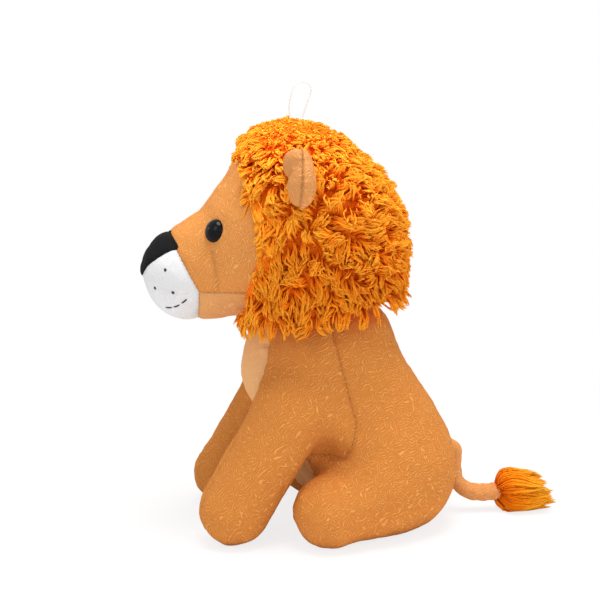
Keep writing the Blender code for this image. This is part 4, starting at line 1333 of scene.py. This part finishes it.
def out_of_mane(points):
    """How far points are out of the mane's outer form, or ahead of its edge round the face."""
    edge = -80.5 + 2.5 * np.clip(points[:, 0] / 44, -1, 1) ** 2 - 3.5 * bell(points[:, 2] - 157, 18)
    return np.maximum(mane_field(points), edge - points[:, 1])


def backing_field(points):
    """A little way under the mane's outer form, and everywhere over the head as far forward as the face."""
    over_head = np.where(points[:, 1] < FACE_BACK, head_field(points) - 2.2, FAR_OFF)
    return np.maximum(out_of_mane(points) + 0.8, np.minimum(mane_field(points) + MANE_DEPTH, over_head))


backing = mesh_object("mane_backing", *skin_of(backing_field, (-60, -88, 106), (60, 20, 228), 2.6))
rounded(backing, 1)
dress(backing, backing_cloth, ["mane"], thickness=0)
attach(backing, "head")
print("mane backing:", len(backing.data.polygons), "faces")

# %% [markdown]
# The roots are spread over the backing by area. Each lock leaves it at a slant, sways from side to side, and
# gives way to its own weight. A lock is a few strands that start together and keep near each other as they
# wave.

# %% Locks
LOCK_RINGS = 10


def scattered(item, count, random):
    """Random points on a mesh, spread by area, with their normals."""
    mesh = item.data
    mesh.calc_loop_triangles()
    corners = np.empty(len(mesh.loop_triangles) * 3, np.int32)
    mesh.loop_triangles.foreach_get("vertices", corners)
    triangles = points_of(item)[corners.reshape(-1, 3)]
    cross = np.cross(triangles[:, 1] - triangles[:, 0], triangles[:, 2] - triangles[:, 0])
    area = np.linalg.norm(cross, axis=1)
    chosen = random.choice(len(triangles), count, p=area / area.sum())
    a, b = random.random((2, count, 1))
    swap = (a + b) > 1
    a, b = np.where(swap, 1 - a, a), np.where(swap, 1 - b, b)
    corner = triangles[chosen]
    points = corner[:, 0] + a * (corner[:, 1] - corner[:, 0]) + b * (corner[:, 2] - corner[:, 0])
    return points, cross[chosen] / area[chosen][:, None]


def unit(rows):
    return rows / np.maximum(np.linalg.norm(rows, axis=-1, keepdims=True), 1e-9)


def locks(roots, normals, lie, height, length, sway, random, strands, thickness):
    """Paths, radii and tones of wavy locks that rise from their roots and then lie over."""
    count = len(roots)
    t = np.linspace(0, 1, LOCK_RINGS)
    rise = np.sin(ramp(t, 0, 0.6) * math.pi / 2)
    run = ramp(t, 0.1, 0.9) ** 1.2
    aside = unit(np.cross(lie, normals + random.normal(0, 0.3, (count, 3))))
    lift = unit(np.cross(aside, lie))
    phase, turns = random.uniform(0, NEARLY_A_TURN, (count, 1)), random.uniform(0.6, 1.3, (count, 1))
    swing = np.sin(NEARLY_A_TURN * turns * t + phase) - np.sin(phase)
    roll = np.cos(NEARLY_A_TURN * turns * t * 0.8 + phase * 1.7) - np.cos(phase * 1.7)
    path = roots[:, None] + normals[:, None] * (height[:, None] * rise)[..., None]
    path = path + lie[:, None] * (length[:, None] * run)[..., None]
    path = path + aside[:, None] * (swing * sway[:, None] * t ** 0.8)[..., None]
    path = path + lift[:, None] * (roll * sway[:, None] * 0.5 * t ** 0.8)[..., None]
    path = path - np.array([0, 0, 1.0]) * (0.15 * length[:, None] * t ** 2)[..., None]
    tone = random.uniform(0, 1, count)
    every_path, every_tone = [], []
    for strand in range(strands):
        offset = unit(random.normal(size=(count, 3))) * thickness
        spread = (1.6 - 0.9 * t)[None, :, None]
        waves = t[None] * random.uniform(0.9, 1.8, (count, 1)) + random.random((count, 1))
        curl = np.sin(NEARLY_A_TURN * waves) * 0.35 * t
        every_path.append(path + offset[:, None] * spread + aside[:, None] * curl[..., None])
        every_tone.append(np.clip(tone + random.normal(0, 0.12, count), 0, 1))
    profile = np.interp(t, [0, 0.3, 0.7, 0.9, 1], [0.9, 1.0, 0.92, 0.6, 0.15])
    radii = thickness * random.uniform(0.75, 1.2, (strands * count, 1)) * profile
    return np.concatenate(every_path), radii, np.concatenate(every_tone)


# %% [markdown]
# Beside the face the pile hangs. Near the crown it stands up more. Elsewhere it lies away from the middle of
# the cheek, where it is a tangle of curls. No strand may stick out of the mane's outer form by more than its
# limit, so a path that does is drawn back towards its root.

# %% Lie of the mane
CHEEK, WHORL = np.array([0, -34.0, 160.0]), np.array([0, -54.0, 216.0])


def lie_of(roots, normals, random):
    """Each lock's direction once it has risen, and how far it is from the middle of the cheek, up to 1."""
    crown = ramp(roots[:, 2], 182, 24)[:, None]
    front = (ramp(roots[:, 1], -50, -14) * ramp(roots[:, 2], 208, -22))[:, None]
    around = (roots - CHEEK) * (0, 1, 1)
    far = ramp(np.linalg.norm(around, axis=1), 0, 46)[:, None]
    flow = unit(around) * (1 - front) * (1 - crown) * far + unit(roots - WHORL) * crown
    flow = flow + np.array([0, -0.12, -1.0]) * (front + 0.2 * (1 - crown))
    swirl = unit(np.cross(normals, random.normal(size=(len(roots), 3))))
    return unit(flow + swirl * (1.0 - 0.45 * far) + normals * (0.2 + 0.3 * crown)), far[:, 0]


def held_in(paths, limit):
    """Paths drawn back towards their roots, so that they stay within a distance of the mane's outer form."""
    for attempt in range(2):
        places = paths.reshape(-1, 3)
        hanging = np.clip(hem_height(places) + 4 - places[:, 2], 0, 4)
        beyond = (out_of_mane(places) - hanging).reshape(paths.shape[:2]) - limit[:, None]
        beyond = np.maximum(beyond.max(axis=1), 0)
        reach = np.linalg.norm(paths[:, -1] - paths[:, 0], axis=1)
        shrink = np.clip(1 - beyond / np.maximum(reach, 1), 0.35, 1)[:, None, None]
        paths = paths[:, :1] + (paths - paths[:, :1]) * shrink
    return paths


# %% [markdown]
# Wet, brushed or just handled, pile gathers into small pointed tufts. The tufts are spread evenly first, each
# with its own direction, tip and wave, and each strand's tip is then drawn towards the tip of the tuft
# nearest to its root. The same seed gives the same mane each time.

# %% Tufts of the mane
TUFT_TRIES, TUFT_GAP = 5000, 4.7


def spaced(points, gap):
    """The numbers of points that are kept so that no two are nearer to each other than a gap."""
    kept = []
    for index, point in enumerate(points):
        if not kept or np.linalg.norm(points[kept] - point, axis=1).min() > gap:
            kept.append(index)
    return kept


random = np.random.default_rng(11)
tufts, tuft_normals = scattered(backing, TUFT_TRIES, random)
chosen = spaced(tufts, TUFT_GAP)
tufts, tuft_normals = tufts[chosen], tuft_normals[chosen]
tuft_lie, tuft_far = lie_of(tufts, tuft_normals, random)
rim = np.interp(tufts[:, 2], [115, 150, 180, 205, 220], [-2.2, -1.6, 1.0, 1.0, -1.2])
rim -= 3.0 * ramp(tufts[:, 2], 200, 15) * ramp(tufts[:, 1], -52, -16)
tuft_limit = random.uniform(-0.3, 3.6, len(tufts)) + rim
tuft_rise = tuft_normals * (-mane_field(tufts) * 0.9)[:, None]
tuft_tips = tufts + tuft_rise + tuft_lie * random.uniform(7, 12, (len(tufts), 1))
tuft_tips = held_in(np.stack([tufts, tuft_tips], 1), tuft_limit)[:, 1]
tuft_aside = unit(np.cross(tuft_lie, tuft_normals + random.normal(0, 0.4, tufts.shape)))
tuft_turns, tuft_phase = random.uniform(0.5, 1.1, (len(tufts), 1)), random.uniform(0, 1, (len(tufts), 1))
tree = KDTree(len(tufts))
for index, place in enumerate(tufts):
    tree.insert(place, index)
tree.balance()
print("tufts:", len(tufts))

# %% [markdown]
# An ear stands in the pile, and the locks part round it: each point of a strand that would be inside the ear
# is pushed out along the ear's own surface.

# %% Gather and part the locks
def tuft_of(points):
    return np.array([tree.find(point)[1] for point in points])


def gathered(paths, tuft, share):
    """Paths that wave with their tuft, and whose tips are drawn a share of the way to the tuft's own tip."""
    t = np.linspace(0, 1, LOCK_RINGS)
    wave = np.sin(NEARLY_A_TURN * (tuft_turns * t + tuft_phase)) - np.sin(NEARLY_A_TURN * tuft_phase)
    paths = paths + tuft_aside[tuft][:, None] * (wave[tuft] * 1.5 * t)[..., None]
    pull = (tuft_tips[tuft] - paths[:, -1]) * (share * (0.6 + 0.4 * tuft_far[tuft]))[:, None]
    paths = paths + pull[:, None] * (t ** 1.4)[None, :, None]
    return held_in(paths, tuft_limit[tuft] - random.uniform(0, 1.5, len(paths)))


def parted(paths, side):
    """Paths pushed out of one ear, so that the locks part round it."""
    places = paths.reshape(-1, 3).copy()
    middle, axes = ear_frame(side)
    near = np.flatnonzero(np.linalg.norm(places - middle, axis=1) < 24)
    local = in_ear(places[near], side)
    deep = ear_field(local)
    slope = np.stack([ear_field(local + step) - deep for step in np.eye(3) * 0.3], 1)
    local = local + unit(slope) * np.clip(0.7 - deep, 0, 4)[:, None]
    places[near] = middle + local @ axes.T
    return places.reshape(paths.shape)


# %% [markdown]
# Two layers grow. The undercoat is short and thick, so that no backing shows. The overcoat has longer,
# thinner strands, and is the one that gathers into tufts. The strands are then handed out to pieces of a few
# thousand, from front to back, because a piece of that size is easy to handle.

# %% Locks of the mane
STRANDS_IN_PIECE = 3500


def mane_locks(count, height_share, length_range, sway_range, strands, thickness, share):
    """Paths, radii and tones of one layer of the mane, the tones holding painted light as well as each lock's
    own colour.
    """
    roots, normals = scattered(backing, count, random)
    keep = ((head_field(roots) > 0.5) | (roots[:, 1] > FACE_BACK)) & (normals[:, 2] > -0.75)
    for side in SIDES.values():
        keep &= ear_field(in_ear(roots, side)) > -2.0
    roots, normals = roots[keep], normals[keep]
    tuft = tuft_of(roots)
    lie, far = unit(tuft_lie[tuft] + random.normal(0, 0.22, roots.shape)), tuft_far[tuft]
    height = np.clip(-mane_field(roots), 2, 12) * height_share
    length = random.uniform(*length_range, len(roots))
    sway = random.uniform(*sway_range, len(roots)) * (1.2 - 0.5 * far)
    sunk = roots - normals * 1.2
    paths, radii, tones = locks(sunk, normals, lie, height, length, sway, random, strands, thickness)
    paths = gathered(paths, np.tile(tuft, strands), share)
    for side in SIDES.values():
        paths = parted(paths, side)
    clear = (head_field(paths[:, -1]) > -0.3) | (paths[:, -1, 1] > FACE_BACK)
    # Painted light: locks whose tips lie high on the mane, or far round from the middle of the cheek, get a
    # lighter tone, as light falls there; the rest of the tone is each lock's own.
    light = ramp(paths[:, -1, 2], 145, 60) * 0.75 + np.tile(far, strands) * 0.35
    return paths[clear], radii[clear], (tones * 0.3 + light)[clear]


undercoat = mane_locks(6000, 0.6, (5, 9), (0.5, 1.2), 3, 0.48, 0.2)
overcoat = mane_locks(5600, 0.85, (8, 13), (0.5, 1.2), 4, 0.38, 0.85)
paths, radii, tones = (np.concatenate(pair) for pair in zip(undercoat, overcoat))
order = np.argsort(paths[:, 0, 1], kind="stable")
for count, chosen in enumerate(np.array_split(order, math.ceil(len(order) / STRANDS_IN_PIECE)), 1):
    tufts = strand_object(f"mane_locks_{count}", paths[chosen], radii[chosen], 3, tones[chosen])
    tufts.data.materials.append(mane_pile)
    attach(tufts, "head")
print("mane strands:", len(paths), "in", count, "pieces")

# %% [markdown]
# ## Tail tuft
# The tuft is a brush of the same pile, sewn into the end of the tail. Its strands start together and lie back
# along the tail's line, so the tuft is egg-shaped, with a ragged tip. They come in bundles that each share a
# direction, a length and a wave, and a quarter of the bundles lie further in, so that the tuft isn't hollow.

# %% Tuft
TUFT_START, TUFT_RADIUS = np.array([0, 68.0, 11.3]), 13.4
random = np.random.default_rng(23)
count, bundles = 3400, 120
bundle = random.integers(0, bundles, count)
bundle_turn, bundle_layer = random.uniform(0, 2 * np.pi, bundles), random.uniform(0.02, 1, bundles) ** 0.4
bundle_layer[::4] *= random.uniform(0.1, 0.75, len(bundle_layer[::4]))
upper = (np.sin(bundle_turn) * bundle_layer)[bundle]
t = np.linspace(0, 1, LOCK_RINGS)
turn = bundle_turn[bundle][:, None] + random.normal(0, 0.32, (count, 1)) * (1 - 0.85 * t ** 1.5)
layer = bundle_layer[bundle][:, None] + random.uniform(-0.2, 0.06, (count, 1)) * (1 - 0.8 * t ** 1.5)
splay = random.uniform(0.72, 1.12, bundles)[bundle][:, None]
belly = np.interp(t, [0, 0.1, 0.25, 0.55, 0.85, 1], [0.3, 0.62, 0.92, 1.0, 0.93, 0.85])
belly = belly * (1 + (splay - 1) * t ** 2)
length = random.uniform(21, 29, bundles)[bundle] + random.normal(0, 0.8, count)
length *= np.interp(upper, [-1, 0, 1], [1.1, 1, 0.82])
across = np.stack([np.cos(turn), np.zeros_like(turn), np.sin(turn)], 2)
sideways = np.stack([-np.sin(turn), np.zeros_like(turn), np.cos(turn)], 2)
waves = t * random.uniform(0.4, 0.9, (bundles, 1)) + random.random((bundles, 1))
sway = np.sin(NEARLY_A_TURN * waves)[bundle] * 1.5 * t
paths = TUFT_START + across * (layer * belly * TUFT_RADIUS)[..., None] + sideways * sway[..., None]
back = length[:, None] * t ** 1.15 - 4.0 * np.abs(upper)[:, None] ** 3
paths = paths + np.array([0, 1.0, 0]) * back[..., None]
paths[:, :, 2] = np.maximum(paths[:, :, 2] - 0.8 * t, 0.5)
radii = 0.43 * random.uniform(0.8, 1.2, (count, 1)) * np.interp(t, [0, 0.3, 0.8, 1], [0.8, 1.0, 0.7, 0.12])
# Painted light: bundles on the upper side of the tuft get a lighter tone, as light falls from above; a small
# random share is each strand's own.
tuft = strand_object("tail_brush", paths, radii, 3, random.uniform(0, 0.3, count) + (upper * 0.5 + 0.5) * 0.7)
tuft.data.materials.append(tuft_pile)
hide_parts("tail_tuft")
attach(tuft, "tail")
print("tuft strands:", count)

# %% [markdown]
# ## Floor, light and background
# The toy sits on a plain white sweep. To the camera and in reflections the sweep is mixed with a white glow,
# more so further from the toy, so it runs into the white room and still keeps the toy's soft shadow.

# %% Floor
FLOOR_HALF, FLOOR_DROP = 3, 0.2 * MM
floor_mesh = bpy.data.meshes.new("floor")
floor_corners = [(x * FLOOR_HALF, y * FLOOR_HALF, 0) for x, y in ((-1, -1), (1, -1), (1, 1), (-1, 1))]
floor_mesh.from_pydata(floor_corners, [], [(0, 1, 2, 3)])
floor = placed("floor", floor_mesh)
floor.location.z = -FLOOR_DROP
sweep = Finish("white_sweep", Roughness=0.9)
sweep.finish(Base_Color=sweep.mix(sweep.noise(60, 2.0), (244, 244, 244), (250, 250, 250)))
rays = sweep.node("ShaderNodeLightPath", {}, {}).socket.node.outputs
seen = sum(Value(sweep, rays[kind]) for kind in ("Is Camera Ray", "Is Glossy Ray", "Is Transmission Ray"))
distance = sweep.node("ShaderNodeVectorMath", {"operation": "LENGTH"}, {0: sweep.place()}, "Value")
far = sweep.between(distance, 0.14, 0.34)
glow = sweep.node("ShaderNodeEmission", {}, {"Color": (1, 1, 1, 1), "Strength": 1.0})
mixer = sweep.node("ShaderNodeMixShader", {}, {0: seen * (0.8 + far * 0.2), 2: glow})
sweep.tree.links.new(sweep.shader.outputs[0], mixer.socket.node.inputs[1])
sweep.tree.links.new(mixer.socket, sweep.tree.nodes["Material Output"].inputs["Surface"])
floor_mesh.materials.append(sweep.material)
print("floor width in m:", 2 * FLOOR_HALF)

# %% [markdown]
# Three round lamps light the toy: one stands high at the camera's left, a large soft one hangs above, and one
# at the camera's right fills the shadows. The room is white. It is shown at full strength to the camera and
# in reflections, and lights the toy with half of that.

# %% Lamps and room
LIT_POINT = (0, -0.03, 0.11)
LAMPS = (("key", (0.75, -0.75, 0.95), 0.7, 3.3), ("top", (0.1, 0.0, 1.4), 0.8, 17.0),
         ("fill", (0.7, 0.9, 0.6), 0.9, 3.6))
for name, place, size, power in LAMPS:
    lamp_data = bpy.data.lights.new(name, "AREA")
    lamp_data.shape = "DISK"
    lamp_data.size = size
    lamp_data.energy = power
    aimed(placed(name, lamp_data), place, LIT_POINT)
world = bpy.data.worlds.new("room")
world.use_nodes = True
bpy.context.scene.world = world
nodes, links = world.node_tree.nodes, world.node_tree.links
rays = nodes.new("ShaderNodeLightPath").outputs
shown = rays["Is Camera Ray"]
for kind in ("Is Glossy Ray", "Is Transmission Ray"):
    either = nodes.new("ShaderNodeMath")
    either.operation = "MAXIMUM"
    links.new(shown, either.inputs[0])
    links.new(rays[kind], either.inputs[1])
    shown = either.outputs[0]
strength = nodes.new("ShaderNodeMapRange")
strength.inputs["To Min"].default_value = 0.5
strength.inputs["To Max"].default_value = 1.0
room = nodes["Background"]
room.inputs["Color"].default_value = (1, 1, 1, 1)
links.new(shown, strength.inputs["Value"])
links.new(strength.outputs[0], room.inputs["Strength"])
bpy.context.scene.view_settings.view_transform = "Standard"
